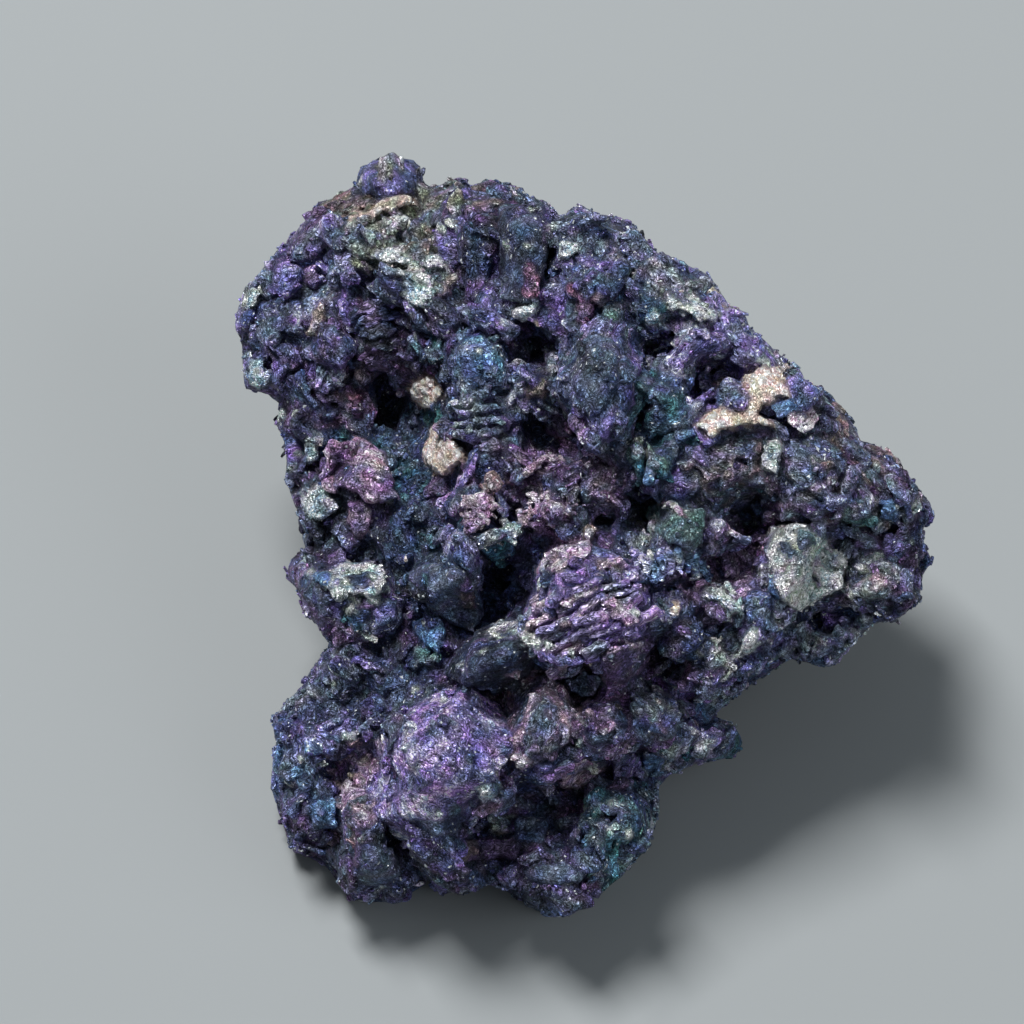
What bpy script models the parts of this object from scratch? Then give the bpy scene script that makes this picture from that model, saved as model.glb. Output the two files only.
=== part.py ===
"""A chalcocite specimen: one mass of platy, tarnished crystals grown together.

It lies on a flat broken spot, with its crystalled face leaning back and tipped
up towards the viewer. The front's lumps are placed by three distances measured
on that face, in millimetres: across to the right, up the face, and out of it.
The hidden back and underside are closed by crusts of the same crystals.
"""

import math

import bmesh
import bpy
from mathutils import Euler, Matrix, Vector

MM = 0.001

# The face: its middle stands this far over the floor and leans back this far.
FACE_MIDDLE = Vector((-4.8, -3.4, 24.3))
FACE_TIP = math.radians(60)
# The distances are those seen by an eye this far out in front of the face.
EYE_DISTANCE = 300.0

# The solid middle: four egg-like bodies, each given by its middle on the face,
# its reach across, up and out, and its turn. Crystals crust all of them behind.
BODIES = (
    ((-2.0, 12.0, -14.0), (11.5, 6.5, 9.0), 0.0),
    ((1.5, 0.0, -13.0), (11.0, 9.5, 10.0), 0.0),
    ((14.0, 1.5, -12.0), (9.5, 4.5, 7.0), -22.0),
    ((-2.5, -13.0, -10.5), (8.5, 9.0, 7.0), 0.0),
)
CRUST_LUMPS = 30
CRUST_LUMP_SIZE = 5.6

# The flat spot it rests on is cut through this lump, placed in the world.
FOOT_MIDDLE = Vector((-3.9, -1.3, 4.8))
FOOT_SIZE = (24.0, 25.0, 14.0)

# Fine steps of the surface, and how coarse the finished solid is.
GRAIN_SIZE = 0.75
ROUGH_SCALE = 1.9
ROUGH_HEIGHT = 1.1
TRIANGLES = 7600
FLOOR_BLOCK = 120.0

TARNISH_COLOUR = (0.055, 0.05, 0.10, 1.0)
TARNISH_ROUGHNESS = 0.42

SPHERE_STEPS = 2
PLATE_SIDES = 9


def remove_startup_objects():
    for thing in list(bpy.data.objects):
        bpy.data.objects.remove(thing, do_unlink=True)


def face_to_world(across, up, out):
    """The point that is seen at this place on the face, at this height out of it."""
    nearness = (EYE_DISTANCE - out) / EYE_DISTANCE
    along_face = Vector((across * nearness, 0, 0))
    up_face = Vector((0, math.sin(FACE_TIP), math.cos(FACE_TIP))) * up * nearness
    off_face = Vector((0, -math.cos(FACE_TIP), math.sin(FACE_TIP))) * out
    return FACE_MIDDLE + along_face + up_face + off_face


def face_turn():
    """Turns a shape's X, Y and Z to across, up and out."""
    return Matrix.Rotation(math.pi / 2 - FACE_TIP, 4, "X")


def placed(at, size, turn, tip, lean):
    """Where a shape of unit size goes: stretched, leant, tipped, turned on the face, moved."""
    angles = Euler((math.radians(tip), math.radians(lean), math.radians(turn)), "XYZ")
    stretched = Matrix.Diagonal((*size, 1))
    move = Matrix.Translation(face_to_world(*at))
    return Matrix.Scale(MM, 4) @ move @ face_turn() @ angles.to_matrix().to_4x4() @ stretched


def lump(mass, at, size, turn=0, tip=0, lean=0):
    """A rounded mass of crystals. Size is its full width, height and depth."""
    bmesh.ops.create_icosphere(
        mass,
        subdivisions=SPHERE_STEPS,
        radius=0.5,
        matrix=placed(at, size, turn, tip, lean),
    )


def plate(mass, at, size, turn=0, tip=0, lean=0):
    """A flat crystal with a many-sided outline. It lies in the face unless tipped."""
    bmesh.ops.create_cone(
        mass,
        cap_ends=True,
        segments=PLATE_SIDES,
        radius1=0.5,
        radius2=0.44,
        depth=1.0,
        matrix=placed(at, size, turn, tip, lean),
    )


def block(mass, at, size, turn=0, tip=0, lean=0):
    """A blocky crystal or a straight blade."""
    bmesh.ops.create_cube(mass, size=1.0, matrix=placed(at, size, turn, tip, lean))


def inner_bodies(mass):
    """The solid middle that every crystal grows from, and the fillings between."""
    for middle_place, reach, turn in BODIES:
        lump(mass, middle_place, [2 * length for length in reach], turn=turn)
    lump(mass, (8.5, 8.5, -11.0), (15.0, 11.0, 12.0), turn=-38)
    lump(mass, (-9.0, 4.0, -15.0), (9.0, 17.0, 11.0))
    lump(mass, (-9.5, -14.5, -11.0), (8.5, 15.0, 8.0))
    lump(mass, (6.0, -10.5, -8.5), (13.0, 12.0, 10.0))
    lump(mass, (15.6, 8.2, -9.0), (12.0, 6.5, 9.0), turn=-38)
    lump(mass, (12.5, -5.5, -9.0), (14.0, 9.5, 10.0), turn=25)
    lump(mass, (21.5, -3.5, -9.5), (9.5, 8.0, 8.0), turn=20)
    lump(mass, (1.5, -21.0, -9.0), (13.0, 7.5, 8.0))


def foot(mass):
    """The spot it broke off at: it runs below the floor, and is cut off there."""
    stretched = Matrix.Diagonal((*FOOT_SIZE, 1))
    matrix = Matrix.Scale(MM, 4) @ Matrix.Translation(FOOT_MIDDLE) @ stretched
    bmesh.ops.create_icosphere(mass, subdivisions=3, radius=0.5, matrix=matrix)


def top_left(mass):
    """The far corner: a round knob above stacked thin plates."""
    lump(mass, (-8.2, 21.9, -11.5), (4.7, 4.5, 5.0))
    lump(mass, (-8.0, 19.4, -13.0), (8.0, 5.0, 7.0))
    plate(mass, (-8.9, 20.2, -9.6), (5.4, 1.8, 3.0), turn=18)
    for step in range(3):
        drop = 1.2 * step
        plate(mass, (-10.2 + 0.3 * step, 18.6 - drop, -9.6 + 0.5 * step), (6.6, 2.6, 3.6), turn=-8)
    for step in range(4):
        drop = 1.0 * step
        plate(mass, (-7.2 + 0.3 * step, 17.2 - drop, -8.0 + 0.4 * step), (6.4, 2.0, 3.4), turn=-16)
    plate(mass, (-4.7, 18.9, -8.2), (5.2, 1.8, 3.4), turn=48)
    lump(mass, (-13.2, 18.0, -12.5), (4.4, 5.8, 5.5), turn=-42)
    lump(mass, (-11.4, 19.9, -12.5), (3.6, 3.0, 4.5), turn=30)
    lump(mass, (-15.3, 15.8, -13.0), (4.6, 4.4, 5.5))
    lump(mass, (-17.0, 14.5, -13.5), (2.8, 3.0, 4.0))
    lump(mass, (-17.2, 12.4, -14.0), (2.9, 3.8, 4.5))
    lump(mass, (-16.6, 9.5, -13.5), (3.4, 4.4, 4.6))
    lump(mass, (-15.0, 12.0, -12.5), (4.5, 6.5, 5.0))
    plate(mass, (-12.9, 12.9, -11.2), (3.2, 5.4, 4.0), turn=-8)
    lump(mass, (-10.4, 14.0, -10.3), (4.8, 3.4, 4.4))
    for step in range(3):
        plate(mass, (-9.7, 13.4 - 1.1 * step, -10.0 + 0.3 * step), (7.4, 1.5, 4.0), turn=22)
    block(mass, (-10.8, 8.0, -11.4), (4.4, 3.2, 4.0), turn=-20)
    lump(mass, (-13.9, 8.7, -12.6), (4.2, 4.6, 5.0))
    lump(mass, (-14.4, 5.8, -12.8), (3.8, 3.4, 5.0))
    lump(mass, (-12.0, 5.6, -12.5), (5.0, 4.0, 5.0))


def top_middle(mass):
    """Crests along the top edge, standing plates, and the nuggets below them."""
    plate(mass, (-3.5, 20.2, -9.8), (4.8, 3.8, 5.4), turn=35)
    lump(mass, (-0.9, 20.1, -9.0), (4.8, 4.4, 5.8))
    block(mass, (-2.6, 16.8, -8.0), (4.0, 6.0, 4.6), turn=-12)
    block(mass, (1.0, 16.9, -5.6), (4.2, 8.0, 5.4), turn=6)
    lump(mass, (1.0, 14.6, -5.0), (4.4, 5.0, 5.0))
    lump(mass, (-4.6, 14.9, -7.4), (2.2, 3.6, 3.4))
    plate(mass, (-1.4, 13.0, -5.6), (5.8, 2.4, 4.2), turn=-18)
    lump(mass, (-2.1, 10.1, -5.6), (5.8, 5.2, 5.2))
    plate(mass, (-2.3, 7.6, -5.6), (6.2, 1.4, 4.6), turn=-6)
    plate(mass, (-2.0, 6.4, -5.2), (6.4, 1.4, 4.8), turn=4)
    lump(mass, (-5.9, 8.2, -7.6), (2.3, 2.4, 3.0))
    lump(mass, (-4.4, 4.3, -6.6), (4.2, 3.6, 3.6))
    lump(mass, (-6.6, 11.4, -9.0), (4.0, 3.4, 4.0))
    lump(mass, (-0.6, 4.0, -4.2), (4.6, 3.4, 4.4), turn=25)


def top_right(mass):
    """The shoulder that falls to the right: crust, druse and a long ribbed lump."""
    lump(mass, (4.9, 18.4, -5.5), (4.6, 4.2, 5.6))
    lump(mass, (7.3, 17.0, -5.4), (5.0, 4.6, 5.4))
    lump(mass, (4.4, 15.2, -4.0), (4.4, 6.2, 5.0))
    lump(mass, (6.7, 14.4, -3.4), (5.6, 5.8, 5.4))
    lump(mass, (3.8, 12.2, -3.4), (4.0, 4.0, 4.4))
    lump(mass, (9.0, 13.8, -3.8), (4.2, 4.8, 4.6))
    lump(mass, (9.6, 15.8, -6.0), (3.8, 3.2, 4.6))
    plate(mass, (12.0, 13.8, -4.6), (5.4, 4.0, 3.8), turn=-32)
    for step in range(4):
        across = 12.0 + 2.1 * step
        up = 14.3 - 1.75 * step
        lump(mass, (across, up, -6.6), (3.6, 3.2, 4.4))
    plate(mass, (13.0, 11.2, -2.9), (5.6, 2.6, 4.0), turn=8)
    lump(mass, (16.6, 10.3, -3.8), (4.4, 3.2, 4.4), turn=-30)
    plate(mass, (6.0, 8.4, -0.6), (6.6, 8.0, 3.6), turn=-18)
    plate(mass, (6.2, 6.0, -0.2), (5.0, 4.4, 3.4), turn=35)
    lump(mass, (1.8, 8.4, -2.8), (3.4, 4.4, 3.6))
    lump(mass, (10.0, 7.6, -2.4), (5.4, 5.4, 4.6))
    lump(mass, (11.8, 5.0, -2.2), (4.4, 3.0, 4.0))
    plate(mass, (15.9, 7.3, -2.6), (7.6, 3.8, 3.4), turn=28)
    plate(mass, (19.0, 7.4, -3.6), (4.6, 3.2, 3.8), turn=14)


def right_wing(mass):
    """The wing that runs out to the right, and the crack below it."""
    lump(mass, (13.4, 3.2, -2.6), (6.0, 5.0, 5.0))
    plate(mass, (17.8, 3.2, -2.9), (8.6, 5.6, 4.4), turn=-14)
    lump(mass, (21.8, 2.3, -4.0), (7.4, 6.0, 5.4), turn=-24)
    lump(mass, (20.6, 5.5, -4.8), (4.6, 3.2, 5.0), turn=-30)
    lump(mass, (25.2, 1.6, -5.2), (4.6, 3.4, 4.8), turn=-38)
    plate(mass, (20.6, 0.3, -3.4), (8.4, 2.4, 4.4), turn=-3)
    plate(mass, (26.4, 0.7, -5.6), (3.4, 3.0, 4.0), turn=-40)
    lump(mass, (18.3, -3.3, -3.6), (4.6, 6.0, 5.0), turn=12)
    plate(mass, (19.8, -1.4, -3.6), (3.6, 2.6, 3.6), turn=10)
    lump(mass, (23.3, -2.2, -5.4), (4.0, 3.2, 4.4))
    lump(mass, (26.3, -2.4, -6.8), (3.6, 5.4, 5.4))
    lump(mass, (24.5, -5.3, -6.0), (5.8, 4.8, 5.6))
    lump(mass, (21.8, -6.9, -8.4), (6.0, 5.0, 5.8))
    plate(mass, (20.9, -9.0, -7.6), (3.4, 3.0, 4.2), turn=20)
    plate(mass, (16.6, -6.0, -3.4), (4.6, 4.4, 4.0), turn=-35)
    plate(mass, (14.0, -6.1, -2.2), (3.4, 2.4, 3.2), turn=-48)
    lump(mass, (15.8, -8.8, -3.8), (4.4, 4.6, 4.6), turn=-15)
    lump(mass, (18.4, -8.0, -6.6), (4.6, 3.8, 5.0), turn=-20)
    lump(mass, (13.2, -10.6, -3.6), (4.4, 4.8, 5.0))
    lump(mass, (11.0, -6.8, -1.9), (4.2, 4.6, 4.2))


def middle(mass):
    """The middle of the face: cavities between leaning plates, and the ribbed bundle."""
    plate(mass, (9.3, 3.0, -1.6), (3.4, 4.0, 3.6), turn=12)
    plate(mass, (11.2, -1.2, -1.4), (4.6, 3.8, 4.2), turn=-10)
    lump(mass, (10.2, -3.4, -1.2), (6.0, 2.6, 3.8), turn=10)
    lump(mass, (13.8, -1.3, -2.8), (3.2, 3.4, 3.6))
    plate(mass, (2.8, 3.0, -2.7), (5.2, 1.5, 3.6), turn=22)
    lump(mass, (2.8, 0.4, -2.6), (3.6, 4.2, 4.2))
    plate(mass, (6.4, 1.3, -2.3), (3.2, 3.2, 3.8), turn=30)
    lump(mass, (5.6, -1.4, -3.4), (3.4, 2.6, 3.4))
    lump(mass, (7.6, -1.8, -2.6), (3.0, 2.4, 3.4))
    plate(mass, (3.6, -3.6, -0.8), (5.6, 2.6, 4.4), turn=30)
    for step in range(4):
        plate(mass, (4.6 + 0.5 * step, -5.2 - 1.3 * step, -0.6 + 0.1 * step), (8.6, 1.7, 4.6), turn=24)
    plate(mass, (7.3, -10.2, -0.9), (4.4, 2.8, 3.8), turn=22)
    block(mass, (-3.4, 2.4, -3.6), (0.9, 4.2, 3.4), turn=-28)
    lump(mass, (-1.6, 1.6, -3.8), (1.5, 2.4, 3.0))
    plate(mass, (-2.4, -0.1, -3.2), (2.8, 2.2, 3.0), turn=25)
    block(mass, (-0.8, -1.7, -2.6), (3.5, 1.2, 3.0), turn=16)
    lump(mass, (-3.3, -3.4, -3.2), (2.8, 6.2, 4.2), turn=12)
    plate(mass, (-5.5, -5.0, -4.4), (3.4, 3.8, 3.8), turn=20)
    plate(mass, (-1.4, -9.6, -0.8), (6.6, 4.0, 4.2), turn=27)
    lump(mass, (-7.4, -1.6, -8.0), (4.4, 6.0, 5.0))
    lump(mass, (-5.3, -7.8, -6.0), (2.6, 2.8, 3.6))
    lump(mass, (-5.9, -10.4, -6.4), (3.6, 3.0, 4.0))


def left_side(mass):
    """The left edge, farther from the eye: nuggets, a mauve plate and a boxy crystal."""
    lump(mass, (-15.0, 5.6, -13.0), (2.8, 2.6, 4.0))
    lump(mass, (-14.6, 2.6, -12.4), (2.8, 2.8, 4.4))
    plate(mass, (-12.9, 0.8, -10.8), (3.4, 4.4, 4.0), turn=10)
    plate(mass, (-9.9, 2.2, -8.4), (4.6, 5.2, 3.2), turn=-28)
    plate(mass, (-10.4, -0.9, -8.8), (2.2, 2.8, 3.0))
    lump(mass, (-12.4, -2.0, -11.2), (3.8, 3.4, 4.4))
    block(mass, (-11.5, -5.2, -8.6), (6.0, 3.6, 4.8), turn=-18)
    lump(mass, (-11.8, -6.6, -8.4), (4.4, 4.6, 4.6), turn=20)
    lump(mass, (-8.6, -6.0, -7.8), (2.8, 3.4, 4.0))
    lump(mass, (-10.6, -10.2, -8.4), (5.4, 3.6, 5.0))
    lump(mass, (-13.4, -12.7, -10.0), (4.0, 3.4, 5.0))


def bottom(mass):
    """The lower third: the domed rosette, and the crusts round it."""
    lump(mass, (-4.7, -15.8, -2.4), (9.2, 8.2, 7.6), turn=-20)
    lump(mass, (-1.5, -18.8, -1.6), (3.6, 3.8, 4.6))
    lump(mass, (-6.4, -19.8, -3.4), (5.0, 3.4, 5.0))
    lump(mass, (2.0, -13.9, -0.9), (4.6, 5.4, 4.6))
    lump(mass, (2.4, -17.4, -1.2), (3.8, 3.4, 4.4))
    lump(mass, (5.8, -14.6, -1.9), (5.0, 5.4, 4.8))
    lump(mass, (9.2, -13.9, -3.4), (5.2, 4.4, 5.0))
    plate(mass, (12.6, -15.2, -5.6), (5.8, 2.6, 3.8), turn=8)
    lump(mass, (7.0, -20.8, -4.6), (6.0, 7.0, 6.0))
    lump(mass, (2.8, -23.9, -5.6), (7.6, 5.8, 6.0))
    plate(mass, (-4.3, -22.4, -4.2), (4.2, 3.4, 5.0))
    lump(mass, (-3.6, -23.6, -7.0), (6.4, 4.4, 5.0))
    plate(mass, (-9.4, -22.8, -6.8), (4.2, 4.2, 5.2), turn=15)
    lump(mass, (-7.9, -25.1, -8.0), (3.2, 2.8, 4.2))
    lump(mass, (-10.4, -24.4, -8.2), (3.6, 3.6, 4.4))
    lump(mass, (-10.3, -19.8, -6.2), (3.8, 3.6, 4.6))
    lump(mass, (-13.8, -16.2, -9.6), (5.2, 6.4, 6.0))
    lump(mass, (-13.4, -20.4, -10.0), (4.0, 4.6, 5.4))
    plate(mass, (-12.8, -14.9, -8.0), (3.2, 2.0, 3.4), turn=-25)
    lump(mass, (-10.7, -14.8, -7.4), (2.8, 2.8, 4.0))


def crust(mass, middle_place, reach, turn):
    """Lumps spread evenly over the back of one body, on a spiral about its depth."""
    golden_turn = math.pi * (3 - math.sqrt(5))
    turned = Matrix.Rotation(math.radians(turn), 3, "Z")
    for count in range(CRUST_LUMPS):
        out = -0.98 + 1.1 * (count + 0.5) / CRUST_LUMPS
        ring = math.sqrt(1 - out * out)
        heading = golden_turn * count
        way = Vector((math.cos(heading) * ring, math.sin(heading) * ring, out))
        offset = turned @ Vector([part * length for part, length in zip(way, reach)])
        wide = CRUST_LUMP_SIZE * (1 + 0.2 * math.sin(2.7 * count))
        high = CRUST_LUMP_SIZE * (1 + 0.2 * math.cos(3.9 * count))
        lump(mass, Vector(middle_place) + offset, (wide, high, CRUST_LUMP_SIZE), turn=40 * count)


def joined_shapes():
    """Every crystal mass, still overlapping, as one mesh."""
    mass = bmesh.new()
    inner_bodies(mass)
    foot(mass)
    top_left(mass)
    top_middle(mass)
    top_right(mass)
    right_wing(mass)
    middle(mass)
    left_side(mass)
    bottom(mass)
    for body in BODIES:
        crust(mass, *body)
    mesh = bpy.data.meshes.new("crystals")
    mass.to_mesh(mesh)
    mass.free()
    return mesh


def evaluated_mesh(thing):
    """The object's mesh with its modifiers worked in."""
    graph = bpy.context.evaluated_depsgraph_get()
    return bpy.data.meshes.new_from_object(thing.evaluated_get(graph))


def add_grown_skin(thing):
    """Grows the overlapping crystals together into one skin, and roughens it."""
    grow = thing.modifiers.new("grow together", "REMESH")
    grow.mode = "VOXEL"
    grow.voxel_size = GRAIN_SIZE * MM
    steps = bpy.data.textures.new("crystal steps", "VORONOI")
    steps.noise_scale = ROUGH_SCALE * MM
    steps.distance_metric = "DISTANCE_SQUARED"
    roughen = thing.modifiers.new("crystal steps", "DISPLACE")
    roughen.texture = steps
    roughen.texture_coords = "GLOBAL"
    roughen.strength = -ROUGH_HEIGHT * MM
    roughen.mid_level = 0.4


def connected_groups(skin):
    """The skin's vertices in groups that hang together."""
    waiting = set(skin.verts)
    while waiting:
        group = set()
        edge_of_group = [waiting.pop()]
        while edge_of_group:
            vertex = edge_of_group.pop()
            group.add(vertex)
            for edge in vertex.link_edges:
                other = edge.other_vert(vertex)
                if other in waiting:
                    waiting.remove(other)
                    edge_of_group.append(other)
        yield group


def keep_outer_skin(mesh):
    """Removes the closed pores inside: only the skin with the most points stays."""
    skin = bmesh.new()
    skin.from_mesh(mesh)
    groups = sorted(connected_groups(skin), key=len)
    pores = [vertex for group in groups[:-1] for vertex in group]
    bmesh.ops.delete(skin, geom=pores, context="VERTS")
    skin.to_mesh(mesh)
    skin.free()


def thin_out(thing):
    """Brings the skin down to the number of triangles the solid is given."""
    fewer = thing.modifiers.new("fewer triangles", "DECIMATE")
    fewer.ratio = TRIANGLES / (2 * len(thing.data.polygons))


def floor_cutter(helpers):
    """The block below the floor that cuts the resting spot off flat."""
    block_mass = bmesh.new()
    bmesh.ops.create_cube(block_mass, size=FLOOR_BLOCK * MM)
    mesh = bpy.data.meshes.new("floor_cutter")
    block_mass.to_mesh(mesh)
    block_mass.free()
    cutter = bpy.data.objects.new("floor_cutter", mesh)
    helpers.objects.link(cutter)
    cutter.location.z = -FLOOR_BLOCK * MM / 2
    cutter.hide_render = True
    cutter.display_type = "WIRE"
    return cutter


def cut_resting_spot(thing, helpers):
    cut = thing.modifiers.new("resting spot", "BOOLEAN")
    cut.operation = "DIFFERENCE"
    cut.object = floor_cutter(helpers)


def tarnished_metal():
    """Dark blue-violet tarnish over a soft metallic lustre."""
    material = bpy.data.materials.new("tarnished chalcocite")
    material.use_nodes = True
    shader = material.node_tree.nodes["Principled BSDF"]
    shader.inputs["Base Color"].default_value = TARNISH_COLOUR
    shader.inputs["Metallic"].default_value = 0.9
    shader.inputs["Roughness"].default_value = TARNISH_ROUGHNESS
    return material


def chalcocite_cluster(parts, helpers):
    """The specimen: one solid, because its crystals are grown together."""
    thing = bpy.data.objects.new("chalcocite_cluster", joined_shapes())
    parts.objects.link(thing)
    add_grown_skin(thing)
    skin = evaluated_mesh(thing)
    thing.modifiers.clear()
    thing.data = skin
    keep_outer_skin(skin)
    thin_out(thing)
    cut_resting_spot(thing, helpers)
    thing.data.materials.append(tarnished_metal())


def main():
    remove_startup_objects()
    parts = bpy.data.collections.new("chalcocite specimen")
    helpers = bpy.data.collections.new("cutters")
    bpy.context.scene.collection.children.link(parts)
    bpy.context.scene.collection.children.link(helpers)
    chalcocite_cluster(parts, helpers)


main()
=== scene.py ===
"""The looks of the chalcocite specimen: a mass of platy, tarnished micro-crystals.

The specimen's face leans back and is tipped up towards the camera. Places on it are
given in millimetres on that face: across to the right, up the face, and out of it.
Leaves, lumps and hollows grow together on a fine grid of steps. The skin of that mass is
made in parts, and each part is crusted with small crystal plates.
"""

import math
from dataclasses import dataclass

import bpy
import numpy as np
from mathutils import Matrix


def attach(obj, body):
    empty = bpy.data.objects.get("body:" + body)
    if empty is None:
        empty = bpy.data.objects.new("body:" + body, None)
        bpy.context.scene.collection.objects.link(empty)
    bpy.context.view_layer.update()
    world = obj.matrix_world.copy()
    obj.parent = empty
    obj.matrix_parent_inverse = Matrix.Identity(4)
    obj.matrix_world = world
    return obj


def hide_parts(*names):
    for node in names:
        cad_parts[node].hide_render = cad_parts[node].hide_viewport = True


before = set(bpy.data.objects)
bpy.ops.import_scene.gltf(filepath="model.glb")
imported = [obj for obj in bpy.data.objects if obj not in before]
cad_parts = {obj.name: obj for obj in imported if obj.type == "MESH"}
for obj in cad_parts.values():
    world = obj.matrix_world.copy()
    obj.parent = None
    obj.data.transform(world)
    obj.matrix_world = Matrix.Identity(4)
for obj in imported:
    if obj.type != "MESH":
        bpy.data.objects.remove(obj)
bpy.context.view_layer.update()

import openvdb
from mathutils import Euler, Matrix, Vector

MM = 0.001
NODE = "chalcocite_cluster"

# The middle of the face and the eye's distance from it, in millimetres, and how far the
# face is tipped back from upright.
FACE_MIDDLE = np.array([-4.8, -3.4, 24.3])
EYE_DISTANCE = 300.0
FACE_TIP = math.radians(60)
ACROSS = np.array([1.0, 0.0, 0.0])
UP_FACE = np.array([0.0, math.sin(FACE_TIP), math.cos(FACE_TIP)])
OFF_FACE = np.array([0.0, -math.cos(FACE_TIP), math.sin(FACE_TIP)])

# The picture's width, and how large it shows the face. The camera's sensor is in millimetres.
PICTURE_PIXELS = 1024
PIXELS_PER_MM = 15
SENSOR = 36.0

# The grid: the size of its steps, and the room that it leaves around the solid.
STEP = 0.15
ROOM = 1.5

# The parts that the skin is made in, and the share of its triangles that each keeps.
REGIONS = ("upper_left", "upper_right", "middle_left", "middle_right", "lower", "back")
FRONT_SHARE = 0.55
BACK_SHARE = 0.15

# Heights out of the face, in millimetres: under the face's rock, and where the back begins.
UNDER_FACE = -12.0
BACK_BEGINS = -15.0

# Slow waves, each with its height and its length in millimetres: where outlines, the
# borders of zones and the edge of the face wander, and how the tops of mounds swell.
BROAD_SWAY = (0.28, 0.8)
FINE_SWAY = (0.14, 0.4)
ZONE_SWAY = (1.6, 2.2)
EDGE_SWAY = (0.28, 1.1)
SWELL = (0.22, 1.6)

# How shapes are bent along each axis: a wave's height, and how fast it turns along the
# next axis and along the one after it.
BENDS = ((0.22, 2.3, 1.1), (0.09, 2.9, 5.1))

# Relief of the skin: how fast it changes along, across and out of a shape, and how wide the
# plates of a cracked patch are, in millimetres.
CRINKLE_PACE = np.array([0.8, 1.4, 1.2])
RIB_PACE = np.array([0.25, 1.7, 1.7])
CRACKED_PLATE = 0.85

# The thin plates of the crust: their number of sides, and the colours of the few bright ones, bare metal and
# painted glints.
CRYSTAL_SIDES = 6
BARE_AND_GLINT_COLOURS = ("silver", "ice", "lavender", "cream", "grey")

# The metal: how much of its reflection is metallic, its brightest reflection, and the periods
# of its patterns in millimetres.
METALLIC = 0.7
BRIGHTEST = 0.95
SWIRL = 0.5
GRIT = 0.2
FOLD = 0.36
CRACK = 0.22
PLATELET = 0.34
FLAKE = 0.12
TINT = 0.9
CLUSTER = 1.3

# Odd factors that mix whole numbers: one for each axis, one for the salt, one for each round.
HASH_AXES = (73856093, 19349663, 83492791)
HASH_SALT = 668265263
HASH_ROUND = 73244475

# The outline of the face, in corners across and up.
OUTLINE = (
    (-10.4, 21.8), (-10.2, 23.0), (-8.2, 23.8), (-6.3, 23.0), (-5.9, 21.8), (-5.0, 21.5),
    (-3.5, 22.1), (-2.8, 21.5), (-1.4, 22.0), (0.5, 21.5), (0.8, 20.8), (2.0, 20.5),
    (3.2, 19.6), (4.5, 20.3), (5.6, 19.9), (7.2, 19.5), (8.5, 18.7), (9.5, 17.2),
    (11.9, 16.2), (13.2, 15.5), (14.0, 14.2), (15.3, 12.9), (16.7, 11.5), (18.6, 9.6),
    (19.5, 8.6), (21.2, 7.6), (22.1, 6.5), (23.2, 4.8), (25.4, 3.6), (26.3, 2.4),
    (27.7, 0.6), (27.9, -0.4), (27.4, -1.1), (27.3, -1.9), (27.8, -3.2), (27.2, -4.4),
    (26.9, -5.9), (25.9, -6.8), (24.2, -7.4), (22.3, -8.7), (21.9, -9.8), (21.1, -10.3),
    (19.9, -9.9), (18.6, -9.6), (17.6, -10.4), (16.0, -11.3), (14.6, -12.1), (13.2, -13.7),
    (14.8, -14.4), (15.3, -15.3), (14.8, -16.3), (13.4, -16.6), (11.8, -16.7), (10.4, -17.4),
    (9.6, -18.3), (9.6, -20.0), (8.9, -22.4), (7.4, -24.0), (6.0, -25.4), (5.4, -26.3),
    (4.0, -26.8), (2.2, -26.9), (0.8, -26.2), (-0.5, -25.1), (-1.6, -24.8), (-3.0, -25.3),
    (-4.6, -25.4), (-5.6, -24.5), (-6.4, -25.3), (-7.4, -26.7), (-9.6, -26.4), (-10.8, -26.0),
    (-11.5, -24.8), (-12.8, -23.3), (-14.7, -22.2), (-15.4, -20.1), (-16.0, -17.8),
    (-15.6, -15.6), (-15.9, -13.7), (-15.0, -12.9), (-14.1, -12.0), (-13.0, -10.2),
    (-12.1, -8.9), (-13.4, -6.9), (-14.9, -4.2), (-14.6, -3.2), (-13.5, -2.5), (-14.1, -0.6),
    (-15.0, 2.6), (-14.9, 4.6), (-15.7, 6.0), (-15.3, 7.4), (-16.2, 8.0), (-17.7, 8.3),
    (-17.9, 10.9), (-18.2, 12.6), (-17.7, 15.0), (-16.5, 16.1), (-15.3, 17.5), (-13.8, 19.4),
    (-12.6, 20.6),
)

# The rock inside that outline: its thickness, and the radius of its rounded rim.
MATRIX_THICKNESS = 4.4
EDGE_ROUND = 2.0

# Which look the rock has around each of these places across and up.
ZONES = (
    (-14, 16, "violet"), (-14, 11, "dark"), (-9, 9, "plum"), (-8, 18, "olive"), (-9, 13, "dark"),
    (-2, 17, "dark"), (3, 17, "slate"), (8, 16, "slate"), (-1, 12, "dark"), (-7, 4, "teal"),
    (-3, 3, "plum"), (2, 3, "plum"), (1, 7, "slate"), (5, 1, "plum"), (9, 6, "teal"),
    (9, 0, "slate"), (13, 9, "violet"), (16, 2, "wing"), (23, 2, "wing"), (20, -4, "slate"),
    (26, -4, "dark"), (14, -4, "plum"), (12, -8, "plum"), (16, -8, "slate"), (4, -7, "violet"),
    (-1, -4, "night"), (-6, -2, "teal"), (-5, -8, "night"), (-11, -2, "dark"), (-12, -6, "dark"),
    (-12, -11, "slate"), (-14, -17, "navy"), (-13, -22, "dark"), (-5, -16, "violet"),
    (2, -14, "dusky"), (7, -14, "plum"), (10, -13, "slate"), (7, -21, "cold"), (3, -18, "plum"),
    (2, -24, "dark"), (-5, -24, "dark"), (-9, -13, "dark"), (-10, -19, "dusky"),
)
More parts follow.
